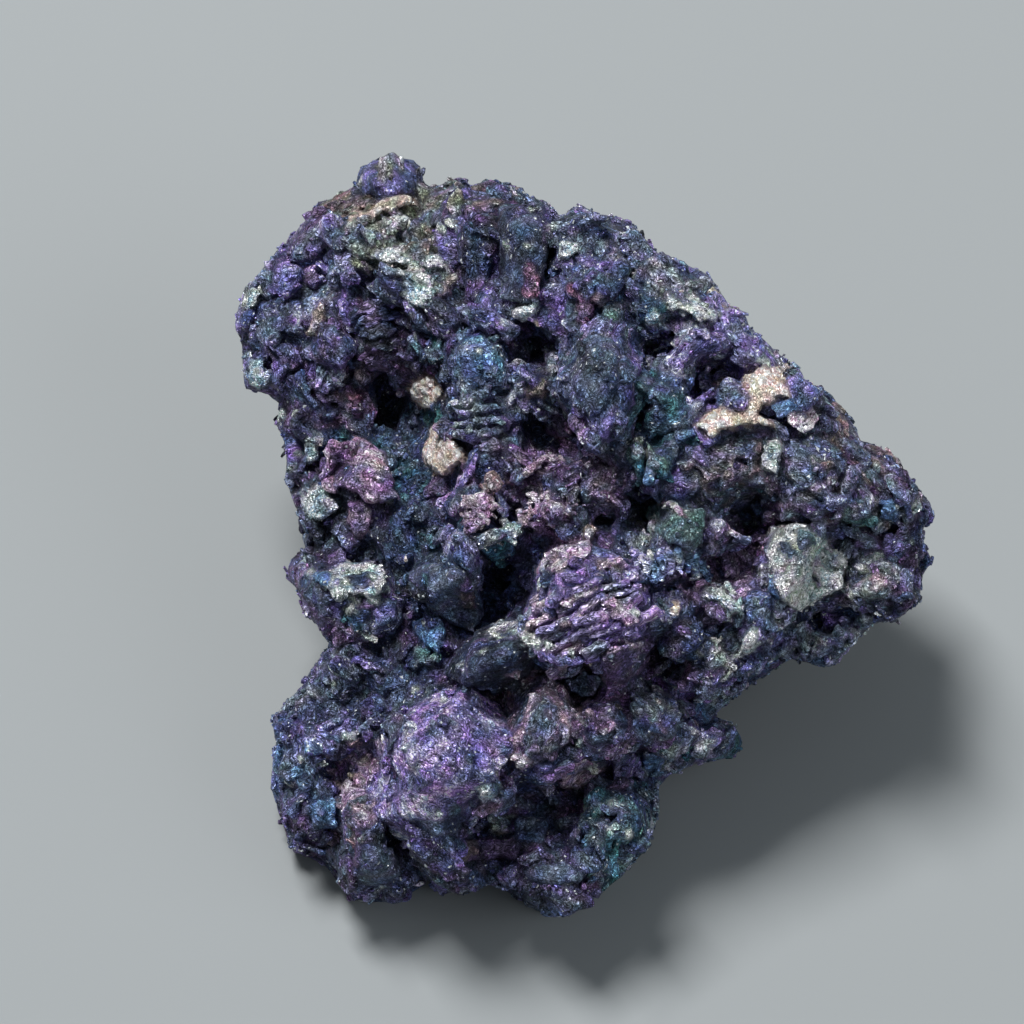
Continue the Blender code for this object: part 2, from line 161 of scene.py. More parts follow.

# Reflection colours of tarnished and of bare metal, from dark to bright. Silver and ice stand partly for bare
# metal and partly for painted reflections and glints.
PALETTE = {
    "night": (0.022, 0.025, 0.040),
    "navy": (0.036, 0.050, 0.108),
    "plum": (0.092, 0.062, 0.134),
    "teal": (0.036, 0.094, 0.126),
    "wine": (0.150, 0.066, 0.100),
    "olive": (0.118, 0.120, 0.106),
    "slate": (0.088, 0.106, 0.162),
    "rust": (0.165, 0.125, 0.125),
    "blue": (0.090, 0.155, 0.300),
    "green": (0.108, 0.172, 0.178),
    "violet": (0.148, 0.120, 0.298),
    "grey": (0.230, 0.240, 0.275),
    "orchid": (0.300, 0.220, 0.460),
    "mauve": (0.320, 0.235, 0.330),
    "tan": (0.470, 0.385, 0.340),
    "lavender": (0.390, 0.385, 0.590),
    "pink": (0.600, 0.450, 0.590),
    "ice": (0.640, 0.760, 0.860),
    "silver": (0.760, 0.800, 0.810),
    "cream": (0.930, 0.715, 0.620),
}


@dataclass
class Look:
    """How one kind of surface looks, with sizes in millimetres and counts for a square millimetre.

    The colours come with their shares. Plates and nuggets grow with the mass, and crystals are
    the thin plates of its crust. Glints are the share of flakes in the metal that are bright
    silver, bare metal and painted glints, and texture is how strongly its fine pattern shows.
    """

    colours: tuple
    relief: str = "crinkled"
    height: float = 0.10
    plates: float = 0.62
    plate_size: float = 1.9
    crystals: float = 0.6
    crystal_size: float = 0.6
    roughness: float = 0.42
    glints: float = 0.012
    texture: float = 1.0


def smooth_look(*colours, roughness=0.44):
    """A finely creased leaf, with few crystals on it."""
    return Look(
        colours, plates=0.35, plate_size=1.0, crystals=0.4, crystal_size=0.4,
        roughness=roughness, glints=0.01, texture=0.75,
    )


def foil_look(*colours):
    """Bright crumpled metal, partly bare and partly painted reflections and glints."""
    return Look(
        colours, "foil", 0.17, plates=0.3, plate_size=0.8, crystals=0.5, crystal_size=0.4,
        roughness=0.3, glints=0.03,
    )


def ribbed_look(*colours, plates=0.15):
    """A surface drawn out into fine parallel ribs."""
    return Look(
        colours, "ribs", 0.12, plates=plates, plate_size=1.0, crystals=0.4, crystal_size=0.45,
        roughness=0.38,
    )


LOOKS = {
    "dark": Look((("navy", 5), ("night", 3), ("slate", 4), ("plum", 2), ("violet", 1))),
    "night": Look((("night", 6), ("navy", 3), ("plum", 1)), plates=0.3),
    "navy": Look((("navy", 5), ("blue", 1.5), ("slate", 3), ("violet", 1))),
    "slate": Look((("slate", 6), ("navy", 3), ("grey", 1), ("violet", 1))),
    "violet": Look((("violet", 5), ("navy", 2), ("slate", 3), ("lavender", 0.7))),
    "blue": Look((("blue", 4), ("navy", 3), ("slate", 3), ("violet", 1))),
    "teal": Look((("teal", 4), ("navy", 3), ("slate", 2)), plate_size=1.0, plates=1.0),
    "cold": Look((("teal", 3), ("slate", 3), ("navy", 3), ("ice", 0.3)), glints=0.025),
    "green": Look((("green", 5), ("slate", 2), ("olive", 2), ("teal", 1))),
    "plum": Look((("plum", 5), ("navy", 3), ("slate", 2), ("mauve", 0.5))),
    "wine": Look((("wine", 4), ("plum", 4), ("night", 1))),
    "rust": Look((("rust", 4), ("navy", 2), ("plum", 3))),
    "olive": Look((("olive", 5), ("slate", 3), ("grey", 1))),
    "wing": Look((("slate", 5), ("navy", 3), ("plum", 1.5), ("rust", 1), ("grey", 1)), glints=0.016),
    "grey": Look((("grey", 4), ("slate", 4), ("silver", 0.6)), glints=0.02),
    "druse": Look((("navy", 3), ("slate", 4), ("blue", 1), ("ice", 0.5)), plate_size=0.9, plates=1.2),
    "dusky": Look((("mauve", 2.5), ("plum", 3), ("slate", 2), ("rust", 1)), height=0.08, plate_size=1.1),
    "mauve": Look((("mauve", 4), ("plum", 2), ("pink", 0.6)), height=0.08, plates=0.2, crystals=0.5),
    "rose": Look((("mauve", 4), ("pink", 1), ("plum", 3)), plate_size=0.9),
    "lavender": Look((("lavender", 4), ("violet", 4), ("slate", 1)), plates=0.2, crystals=0.5),
    "orchid": Look((("orchid", 4), ("violet", 3), ("plum", 1)), plates=0.2, crystals=0.4),
    "pink": Look((("pink", 4), ("lavender", 2), ("mauve", 3)), plates=0.2, crystals=0.5),
    "tan": Look((("tan", 4), ("rust", 2), ("mauve", 2)), plates=0.1, crystals=0.3),
    "cream": Look(
        (("cream", 8), ("tan", 1)), "cracked", 0.14, plates=0.1, plate_size=0.7, crystals=0.0,
        glints=0.0, texture=0.55,
    ),
    # Silver and ice foil: partly bare metal, partly painted reflections and glints.
    "silver": foil_look(("silver", 6), ("ice", 2), ("grey", 2), ("slate", 1)),
    "ice": foil_look(("ice", 6), ("silver", 3), ("grey", 2), ("blue", 1), ("slate", 1)),
    "smooth slate": smooth_look(("slate", 5), ("navy", 3), ("night", 1)),
    "smooth violet": smooth_look(("violet", 5), ("navy", 2)),
    "smooth blue": smooth_look(("blue", 5), ("slate", 3)),
    "smooth night": smooth_look(("navy", 4), ("night", 2), ("slate", 2)),
    "smooth plum": smooth_look(("plum", 5), ("slate", 3)),
    "smooth green": smooth_look(("green", 5), ("slate", 3), roughness=0.36),
    "smooth rust": smooth_look(("rust", 5), ("plum", 3)),
    "rosette": Look(
        (("violet", 6), ("navy", 2), ("lavender", 1), ("orchid", 2)), height=0.15, plate_size=1.0,
    ),
    "bundle": ribbed_look(("violet", 6), ("mauve", 2), ("slate", 2), ("orchid", 2), plates=0.0),
    "ribbed blue": ribbed_look(("lavender", 2), ("blue", 3), ("violet", 3), ("navy", 2)),
    "ribbed dark": ribbed_look(("night", 2), ("plum", 3), ("navy", 4)),
    "ribbed teal": ribbed_look(("teal", 3), ("slate", 3), ("ice", 1)),
}
LOOK_NAMES = list(LOOKS)


def to_world(places):
    """World metres of places on the face, given in millimetres as across, up and out."""
    nearness = (EYE_DISTANCE - places[:, 2:3]) / EYE_DISTANCE
    on_face = places[:, 0:1] * nearness * ACROSS + places[:, 1:2] * nearness * UP_FACE
    return (FACE_MIDDLE + on_face + places[:, 2:3] * OFF_FACE) * MM


def to_face(points):
    """Places on the face, in millimetres, of points given in world metres."""
    offset = points / MM - FACE_MIDDLE
    out = offset @ OFF_FACE
    nearness = (EYE_DISTANCE - out) / EYE_DISTANCE
    return np.stack([offset @ ACROSS / nearness, offset @ UP_FACE / nearness, out], axis=1)


def hashed(cells, salt):
    """An even random number from 0 to 1 for each whole-numbered cell."""
    mixed = cells[..., 0] * HASH_AXES[0] ^ cells[..., 1] * HASH_AXES[1] ^ cells[..., 2] * HASH_AXES[2]
    mixed = (mixed + salt * HASH_SALT) & 0x7FFFFFFF
    for shift in (15, 13):
        mixed = ((mixed >> shift) ^ mixed) * HASH_ROUND & 0x7FFFFFFF
    return ((mixed >> 11) & 0xFFFF) / 0xFFFF


def smooth_noise(points, salt):
    """Soft noise from 0 to 1, with one hill or dip to a unit."""
    base = np.floor(points).astype(np.int64)
    part = points - base
    part = part * part * (3 - 2 * part)
    total = np.zeros(points.shape[:-1])
    for corner in range(8):
        step = np.array([corner & 1, corner >> 1 & 1, corner >> 2 & 1])
        weight = np.prod(np.where(step, part, 1 - part), axis=-1)
        total += weight * hashed(base + step, salt)
    return total


def waves(across, up, height, period, salt):
    """Soft uneven waves on the face, that high above and below nothing."""
    places = np.stack([across / period, up / period, np.full_like(across, 0.5)], axis=-1)
    return height * (2 * smooth_noise(places, salt) - 1)


def ridges(points, salt):
    """Sharp crests at 1 between hollows at 0."""
    return 1 - np.abs(2 * smooth_noise(points, salt) - 1)


def cell_depth(points, salt):
    """How deep each point lies inside its own cell of randomly scattered seeds."""
    base = np.floor(points).astype(np.int64)
    least = np.full(len(points), np.inf)
    second = np.full(len(points), np.inf)
    for count in range(27):
        cell = base + np.array([count % 3 - 1, count // 3 % 3 - 1, count // 9 - 1])
        seed = np.stack([hashed(cell, salt + axis) for axis in range(3)], axis=1)
        distance = np.linalg.norm(cell + seed - points, axis=1)
        second = np.minimum(second, np.maximum(least, distance))
        least = np.minimum(least, distance)
    return second - least


def turned_axes(turn, tip=0):
    """The axes of a shape that is tipped, and then turned on the face."""
    angles = Euler((math.radians(tip), 0, math.radians(turn)), "XYZ")
    return np.array(angles.to_matrix())


# Each shape gives how far places are outside it, by its half sizes along, across and out.
# Only the plate draws random numbers.


def lump_shape(long, wide, deep, half, draw):
    """A rounded nugget."""
    near = np.sqrt((long / half[0]) ** 2 + (wide / half[1]) ** 2 + (deep / half[2]) ** 2)
    slope = (long / half[0] ** 2) ** 2 + (wide / half[1] ** 2) ** 2 + (deep / half[2] ** 2) ** 2
    return near * (near - 1) / np.maximum(np.sqrt(slope), 1e-3)


def plate_shape(long, wide, deep, half, draw):
    """A flat crystal with an uneven, many-sided outline."""
    sides = 7
    nearest_side, spread_of_sides, spread_of_headings = 0.8, 0.2, 0.6
    rim = -math.inf
    for side in range(sides):
        heading = 2 * math.pi * (side + spread_of_headings * draw.random()) / sides
        distance = nearest_side + spread_of_sides * draw.random()
        edge = long * (math.cos(heading) / half[0]) + wide * (math.sin(heading) / half[1])
        rim = np.maximum(rim, edge - distance)
    return np.maximum(rim * min(half[0], half[1]), np.abs(deep) - half[2])


def block_shape(long, wide, deep, half, draw):
    """A crystal with square sides."""
    sides = np.maximum(np.abs(long) - half[0], np.abs(wide) - half[1])
    return np.maximum(sides, np.abs(deep) - half[2])


def ring_shape(long, wide, deep, half, draw):
    """A ring whose size is its outer width and height, and the thickness of its rim."""
    thickness = half[2]
    least_radius = 0.05
    mean = np.maximum(half[:2] - thickness, least_radius)
    around = (np.hypot(long / mean[0], wide / mean[1]) - 1) * mean.min()
    return np.hypot(around, deep) - thickness


def arc_shape(long, wide, deep, half, draw):
    """Half of such a ring, open towards its own lower side."""
    overlap = 0.1
    return np.maximum(ring_shape(long, wide, deep, half, draw), -wide - overlap)


def polygon_distance(corners, across, up):
    """How far each place is outside a closed outline."""
    nearest = np.full(across.shape, np.inf)
    inside = np.zeros(across.shape, bool)
    for start, end in zip(corners, corners[1:] + corners[:1]):
        side = (end[0] - start[0], end[1] - start[1])
        share = (across - start[0]) * side[0] + (up - start[1]) * side[1]
        share = np.clip(share / (side[0] ** 2 + side[1] ** 2), 0, 1)
        gap = np.hypot(across - start[0] - share * side[0], up - start[1] - share * side[1])
        nearest = np.minimum(nearest, gap)
        crosses = (start[1] > up) != (end[1] > up)
        left = across < start[0] + (up - start[1]) * side[0] / (side[1] or 1e-9)
        inside ^= crosses & left
    return np.where(inside, -nearest, nearest)


def smoothed(height, times):
    """Heights that are evened out with their four neighbours, that many times."""
    for _ in range(times):
        padded = np.pad(height, 1, mode="edge")
        height = (padded[:-2, 1:-1] + padded[2:, 1:-1] + padded[1:-1, :-2] + padded[1:-1, 2:]) / 4
    return height


class Mass:
    """The solid on the grid: how far each step is outside it, and which shape it belongs to.

    Lengths are in millimetres, and its axes run across, up and out of the face. Each shape is
    kept as its middle, its axes and the number of its look.
    """

    def __init__(self, low, high):
        self.low = np.array(low)
        self.counts = np.ceil((np.array(high) - self.low) / STEP).astype(int) + 1
        self.field = np.zeros(self.counts, np.float32)
        self.owner = np.zeros(self.counts, np.int16)
        self.shapes = []
        self.draw = np.random.default_rng(11)
        across, up = self.face_places((slice(None), slice(None)))
        self.beyond = polygon_distance(OUTLINE, across, up)
        self.level = None

    def axis_places(self, axis):
        """Where the grid's steps are along one axis."""
        return self.low[axis] + STEP * np.arange(self.counts[axis])

    def face_places(self, part):
        """Where the grid's columns stand on the face."""
        return np.meshgrid(self.axis_places(0)[part[0]], self.axis_places(1)[part[1]], indexing="ij")

    def new_owner(self, middle, axes, look):
        """The number of a new shape, for the steps that belong to it."""
        self.shapes.append((np.array(middle), axes, LOOK_NAMES.index(look)))
        return len(self.shapes) - 1

    def shape_parts(self, part):
        """The middles, the axes or the looks of all shapes, for part 0, 1 or 2."""
        return np.array([shape[part] for shape in self.shapes])

    def window(self, middle, reach):
        """The part of the grid within that reach of a place."""
        first = np.floor((middle - reach - self.low) / STEP).astype(int)
        last = np.ceil((middle + reach - self.low) / STEP).astype(int) + 1
        first = np.clip(first, 0, self.counts)
        last = np.clip(last, 0, self.counts)
        return tuple(slice(a, b) for a, b in zip(first, last))

    def heights(self, part=(slice(None), slice(None))):
        """How far out the solid reaches in each column there, and in which it is at all."""
        inside = self.field[part] < 0
        last = self.counts[2] - 1 - np.argmax(inside[:, :, ::-1], axis=2)
        return self.low[2] + STEP * last, inside.any(axis=2)

    def keep_level(self):
        """Remembers how far out the solid reaches, smoothed, for the shapes to stand on."""
        rounds = 40
        height, solid = self.heights()
        weight = smoothed(solid.astype(float), rounds)
        level = smoothed(np.where(solid, height, 0.0), rounds) / np.maximum(weight, 1e-3)
        self.level = np.where(weight > 0.02, level, UNDER_FACE)

    def level_at(self, across, up):
        """How far out the ground is there, before any shape stands on it."""
        column = np.rint((np.array([across, up]) - self.low[:2]) / STEP).astype(int)
        return float(self.level[tuple(np.clip(column, 0, self.counts[:2] - 1))])

    def front_at(self, across, up):
        """How far out the solid reaches there now."""
        reach = 0.3
        part = self.window(np.array([across, up, 0.0]), np.array([reach, reach, 0.0]))
        height, solid = self.heights(part[:2])
        return float(np.median(height[solid])) if solid.any() else self.level_at(across, up)

    def merge(self, window, distance, owner, carve=False):
        """Joins distances to the solid or carves them out. Steps near that skin get their owner."""
        near = 1.0
        here = self.field[window]
        if carve:
            won = -distance > here
            here[won] = -distance[won]
        else:
            won = distance < here
            here[won] = distance[won]
        self.owner[window][won & (np.abs(here) < near)] = owner

    def stamp(self, shape, middle, size, look, axes, carve=False):
        """Joins a shape, a little bent, to the solid, or carves it out."""
        waver = 0.6 if shape is block_shape else 1.0
        margin = 2.5 * STEP
        half = np.array(size, np.float32) / 2
        window = self.window(np.array(middle), np.abs(axes) @ half + margin)
        lines = [self.axis_places(axis)[part].astype(np.float32) for axis, part in enumerate(window)]
        if not all(len(line) for line in lines):
            return
        places = np.ix_(*lines)
        offset = []
        for axis in range(3):
            second, third = places[(axis + 1) % 3], places[(axis + 2) % 3]
            sway = sum(high * np.sin(second * pace + third * other) for high, pace, other in BENDS)
            offset.append(places[axis] - np.float32(middle[axis]) + waver * sway)
        turned = axes.astype(np.float32)
        local = [sum(offset[i] * turned[i, j] for i in range(3)) for j in range(3)]
        owner = self.new_owner(middle, axes, look)
        self.merge(window, shape(*local, half, self.draw), owner, carve)

    def grow(self, shape, at, size, look, turn=0, tip=0):
        """Adds a shape, whose middle is so far out of the ground there."""
        out = self.level_at(at[0], at[1]) + at[2]
        self.stamp(shape, (at[0], at[1], out), size, look, turned_axes(turn, tip))

    def perch(self, shape, at, size, look, turn=0, carve=False):
        """Adds or carves a shape on whatever is there by now."""
        out = self.front_at(at[0], at[1]) + at[2]
        self.stamp(shape, (at[0], at[1], out), size, look, turned_axes(turn), carve)

    def pit(self, at, size, turn=0):
        """Sinks a hollow into whatever is there by now, whose walls take the darkest look: a painted shade.
        """
        self.perch(lump_shape, at, size, "night", turn, carve=True)

    def knobs(self, look, spots, out=0.05):
        """Small round crystals: each spot gives its place across and up, its width and height."""
        for across, up, wide, tall in spots:
            size = (wide, tall, 0.8 * min(wide, tall) + 0.3)
            self.perch(lump_shape, (across, up, out), size, look, turn=23 * across)

    def mound(self, look, corners, out=0.8, rise=0.8, border=1.0, turn=0, slope=(0.0, 0.0)):
        """A leaf or lump with that outline, which stands so far out of the ground.

        Its border is that wide and falls by rise. Its turn is that of the grain on it, and its
        slope is how fast its top rises across and up. Near the edge of the face it bows down.
        """
        room, depth, flattening, bow, bow_width, rounded = 0.6, 2.5, 0.8, 0.4, 1.2, 0.7
        low, high = np.min(corners, axis=0), np.max(corners, axis=0)
        middle = (low + high) / 2
        reach = (high - low) / 2 + room
        part = self.window(np.append(middle, 0.0), np.append(reach, 0.0))[:2]
        across, up = self.face_places(part)
        owner = self.new_owner((*middle, self.level_at(*middle)), turned_axes(turn), look)
        sway_across = waves(across, up, *BROAD_SWAY, owner) + waves(across, up, *FINE_SWAY, 5)
        sway_up = waves(across, up, *BROAD_SWAY, owner + 1) + waves(across, up, *FINE_SWAY, 6)
        edge = polygon_distance(corners, across + sway_across, up + sway_up)
        inward = np.clip(-edge / (rounded * border), 0, 1)
        top = self.level[part] + out + rise * (np.sqrt(inward * (2 - inward)) - 1)
        top += slope[0] * (across - middle[0]) + slope[1] * (up - middle[1])
        top += waves(across, up, *SWELL, owner + 2)
        top -= bow * np.clip(bow_width + self.beyond[part], 0, None) ** 2
        over = (top.max() + 0.5 - self.low[2]) / STEP
        under = (top.min() - 0.5 - depth - self.low[2]) / STEP
        depths = slice(max(int(under), 0), max(min(int(over) + 1, self.counts[2]), 0))
        out_here = self.axis_places(2)[depths]
        over_top = flattening * (out_here - top[..., None])
        under_foot = top[..., None] - depth - out_here
        distance = np.maximum(np.maximum(over_top, under_foot), edge[..., None])
        self.merge((*part, depths), distance.astype(np.float32), owner)


def add_core(mass, points, triangles):
    """The specimen's own solid, a little shrunk in front, where finer shapes stand on it."""
    transform = openvdb.createLinearTransform(voxelSize=STEP)
    grid_points = (points - mass.low).astype(np.float32)
    band = 10.0
    behind, in_front = (-17.0, 0.15), (UNDER_FACE, 0.75)
    solid = openvdb.FloatGrid.createLevelSetFromPolygons(
        grid_points, triangles=triangles.astype(np.uint32), transform=transform, halfWidth=band
    )
    solid.copyToArray(mass.field)
    shrink = np.interp(mass.axis_places(2), *zip(behind, in_front))
    mass.field += shrink.astype(np.float32)


def add_matrix(mass):
    """The rock that fills the outline of the face and joins all that stands on it."""
    sunk = 0.45
    height, solid = mass.heights()
    height = np.where(solid, height, UNDER_FACE)
    middle = (smoothed(height, 60) - MATRIX_THICKNESS / 2 - sunk)[..., None]
    sideways = np.maximum(mass.beyond + EDGE_ROUND, 0)[..., None]
    thick = np.abs(mass.axis_places(2) - middle) - MATRIX_THICKNESS / 2 + EDGE_ROUND
    slab = np.hypot(sideways, np.maximum(thick, 0)) + np.minimum(thick, 0) - EDGE_ROUND
    mass.field = np.minimum(mass.field, slab.astype(np.float32))


def lay_zones(mass):
    """Gives the rock the look of the nearest zone, with wavering borders."""
    across, up = mass.face_places((slice(None), slice(None)))
    across = across + waves(across, up, *ZONE_SWAY, 31)
    up = up + waves(across, up, *ZONE_SWAY, 32)
    nearest = np.full(across.shape, np.inf)
    chosen = np.zeros(across.shape, np.int16)
    for number, (place_across, place_up, look) in enumerate(ZONES):
        middle_of_zone = (place_across, place_up, -8.0)
        owner = mass.new_owner(middle_of_zone, turned_axes(67 * number), look)
        distance = np.hypot(across - place_across, up - place_up)
        chosen[distance < nearest] = owner
        nearest = np.minimum(nearest, distance)
    mass.owner[:] = chosen[..., None]


def top_left(mass):
    """The far corner: a round knob above stacked thin plates and silver flakes."""
    mass.mound("smooth violet", (
        (-10.5, 22.1), (-10.3, 23.1), (-9.3, 23.6), (-8.0, 23.7), (-6.8, 23.6), (-6.1, 22.9),
        (-5.9, 21.9), (-6.5, 21.1), (-8.9, 20.9), (-10.0, 21.0),
    ), 1.6, 2.2, 2.4)
    mass.mound("rust", (
        (-11.8, 21.1), (-10.4, 21.7), (-9.3, 20.5), (-11.1, 19.7), (-12.7, 20.5),
    ), 0.8)
    mass.mound("cream", (
        (-11.1, 19.7), (-10.7, 20.1), (-9.6, 20.1), (-8.7, 20.6), (-7.6, 21.0), (-6.7, 21.1),
        (-6.8, 20.6), (-8.3, 20.0), (-9.6, 19.4), (-10.8, 19.2),
    ), 1.5, 0.5, 0.5, slope=(0, -0.35))
    mass.mound("plum", (
        (-15.1, 17.8), (-13.7, 19.7), (-12.5, 19.8), (-11.6, 18.7), (-12.9, 17.1), (-14.8, 16.7),
    ), 0.9, turn=40)
    mass.mound("violet", (
        (-16.7, 15.7), (-15.8, 16.5), (-14.8, 16.9), (-14.1, 16.1), (-14.3, 14.8), (-15.1, 14.1),
        (-16.3, 14.7),
    ), 1.2, 1.2, 1.3)
    # Bright lilac specks here are painted glints.
    mass.mound("orchid", ((-14.0, 16.0), (-13.3, 16.3), (-12.7, 15.5), (-13.1, 14.9), (-13.7, 15.3)), 1.0)
    mass.mound("slate", (
        (-17.1, 14.1), (-15.8, 14.1), (-15.1, 12.8), (-15.5, 11.1), (-16.7, 10.8), (-17.7, 11.8),
        (-17.6, 13.3),
    ), 1.0, 1.0, 1.3)
    mass.mound("silver", (
        (-18.0, 14.5), (-17.4, 15.2), (-16.8, 14.6), (-17.1, 13.7), (-17.8, 13.5),
    ), 1.4, 0.4, 0.5, slope=(0.1, -0.5))
    mass.mound("ice", (
        (-18.1, 10.0), (-17.7, 10.7), (-16.7, 10.3), (-16.1, 9.1), (-16.4, 8.3), (-17.1, 8.1), (-17.9, 9.2),
    ), 1.6, 0.6, 0.7, slope=(0.1, -0.5))
    mass.mound("tan", ((-13.2, 13.6), (-12.7, 14.3), (-12.3, 12.8), (-12.9, 11.6), (-13.6, 11.7)), 0.9)
    mass.mound("violet", ((-14.8, 14.2), (-13.9, 14.1), (-13.9, 11.6), (-14.8, 11.7)), 0.8)
    mass.mound("olive", ((-11.1, 19.3), (-8.8, 19.4), (-8.0, 18.3), (-9.1, 17.9), (-10.7, 18.4)), 1.3)
    mass.mound("olive", ((-11.6, 18.1), (-10.7, 18.4), (-9.1, 17.7), (-9.5, 16.7), (-10.8, 17.1)), 1.0)
    mass.mound("olive", ((-11.2, 17.1), (-9.7, 16.7), (-9.3, 15.8), (-10.7, 16.1)), 0.8)
    mass.mound("grey", ((-8.5, 19.8), (-7.5, 19.3), (-7.8, 18.4), (-8.6, 18.9)), 1.4)
    mass.mound("silver", (
        (-9.5, 16.9), (-8.9, 17.3), (-8.0, 17.7), (-6.1, 17.7), (-5.3, 17.2), (-4.6, 16.5),
        (-4.8, 16.1), (-6.8, 16.7), (-8.5, 16.6),
    ), 1.5, 0.4, 0.5, slope=(0, -0.35))
    mass.mound("grey", (
        (-8.8, 16.3), (-6.7, 16.2), (-4.8, 15.8), (-4.9, 15.3), (-7.3, 15.5), (-8.4, 15.2),
    ), 1.2, 0.4, 0.5)
    mass.mound("ice", (
        (-7.9, 14.8), (-7.3, 15.4), (-5.6, 15.2), (-5.1, 14.8), (-5.3, 14.2), (-5.9, 13.8),
        (-6.6, 14.0), (-7.3, 14.4),
    ), 1.4, 0.3, 0.4, slope=(0, -0.5))
    mass.mound("mauve", (
        (-5.2, 15.3), (-4.3, 16.0), (-3.5, 16.0), (-3.7, 15.2), (-4.3, 14.4), (-4.9, 13.7), (-5.2, 14.4),
    ), 1.0)
    mass.mound("mauve", ((-5.6, 13.9), (-4.7, 13.7), (-4.1, 13.2), (-4.9, 12.9)), 1.0)
    for drop in range(5):
        at = (-9.1 + 0.15 * drop, 13.5 - 0.85 * drop, 0.8)
        size = (3.4 - 0.25 * drop, 0.85, 1.4)
        mass.grow(plate_shape, at, size, "ribbed dark", turn=24 - 3 * drop, tip=-20)
    mass.mound("rust", (
        (-11.1, 10.0), (-9.8, 10.7), (-8.5, 10.5), (-8.1, 9.8), (-9.5, 9.5), (-10.7, 9.3),
    ), 0.9)
    mass.mound("wine", ((-11.3, 8.3), (-10.8, 8.5), (-10.0, 7.8), (-10.3, 7.1), (-11.1, 7.5)), 0.9)
    for across, up, turn in ((-12.6, 10.4, -60), (-11.7, 10.4, 70), (-12.9, 9.3, -80), (-11.9, 9.2, -50)):
        mass.grow(plate_shape, (across, up, 0.7), (1.7, 0.55, 1.0), "violet", turn=turn)
    mass.pit((-8.2, 7.4, 0.0), (2.3, 4.8, 4.4))
    mass.pit((-12.1, 7.6, 0.0), (0.8, 1.1, 2.0))
    # Silver knobs, among them painted glints on the round knob and on the stacked plates.
    mass.knobs("silver", (
        (-17.3, 14.9, 0.9, 0.8), (-16.5, 14.6, 0.6, 0.5), (-17.8, 12.9, 0.7, 0.9), (-17.6, 13.7, 0.6, 0.6),
        (-6.7, 19.4, 0.6, 0.4), (-8.8, 22.6, 0.35, 0.6), (-10.0, 22.0, 0.6, 0.4), (-9.8, 11.1, 0.6, 0.25),
    ), 0.1)
    mass.knobs("orchid", ((-12.8, 10.6, 0.5, 1.0), (-12.6, 7.8, 0.7, 0.7), (-9.8, 14.1, 0.6, 0.5)))
    mass.knobs("wine", ((-10.4, 14.0, 0.8, 0.6), (-11.1, 12.9, 0.7, 0.7)))
    mass.knobs("silver", ((-4.8, 18.7, 0.5, 0.8), (-4.3, 19.1, 0.5, 0.7), (-5.3, 19.6, 0.9, 0.4)))


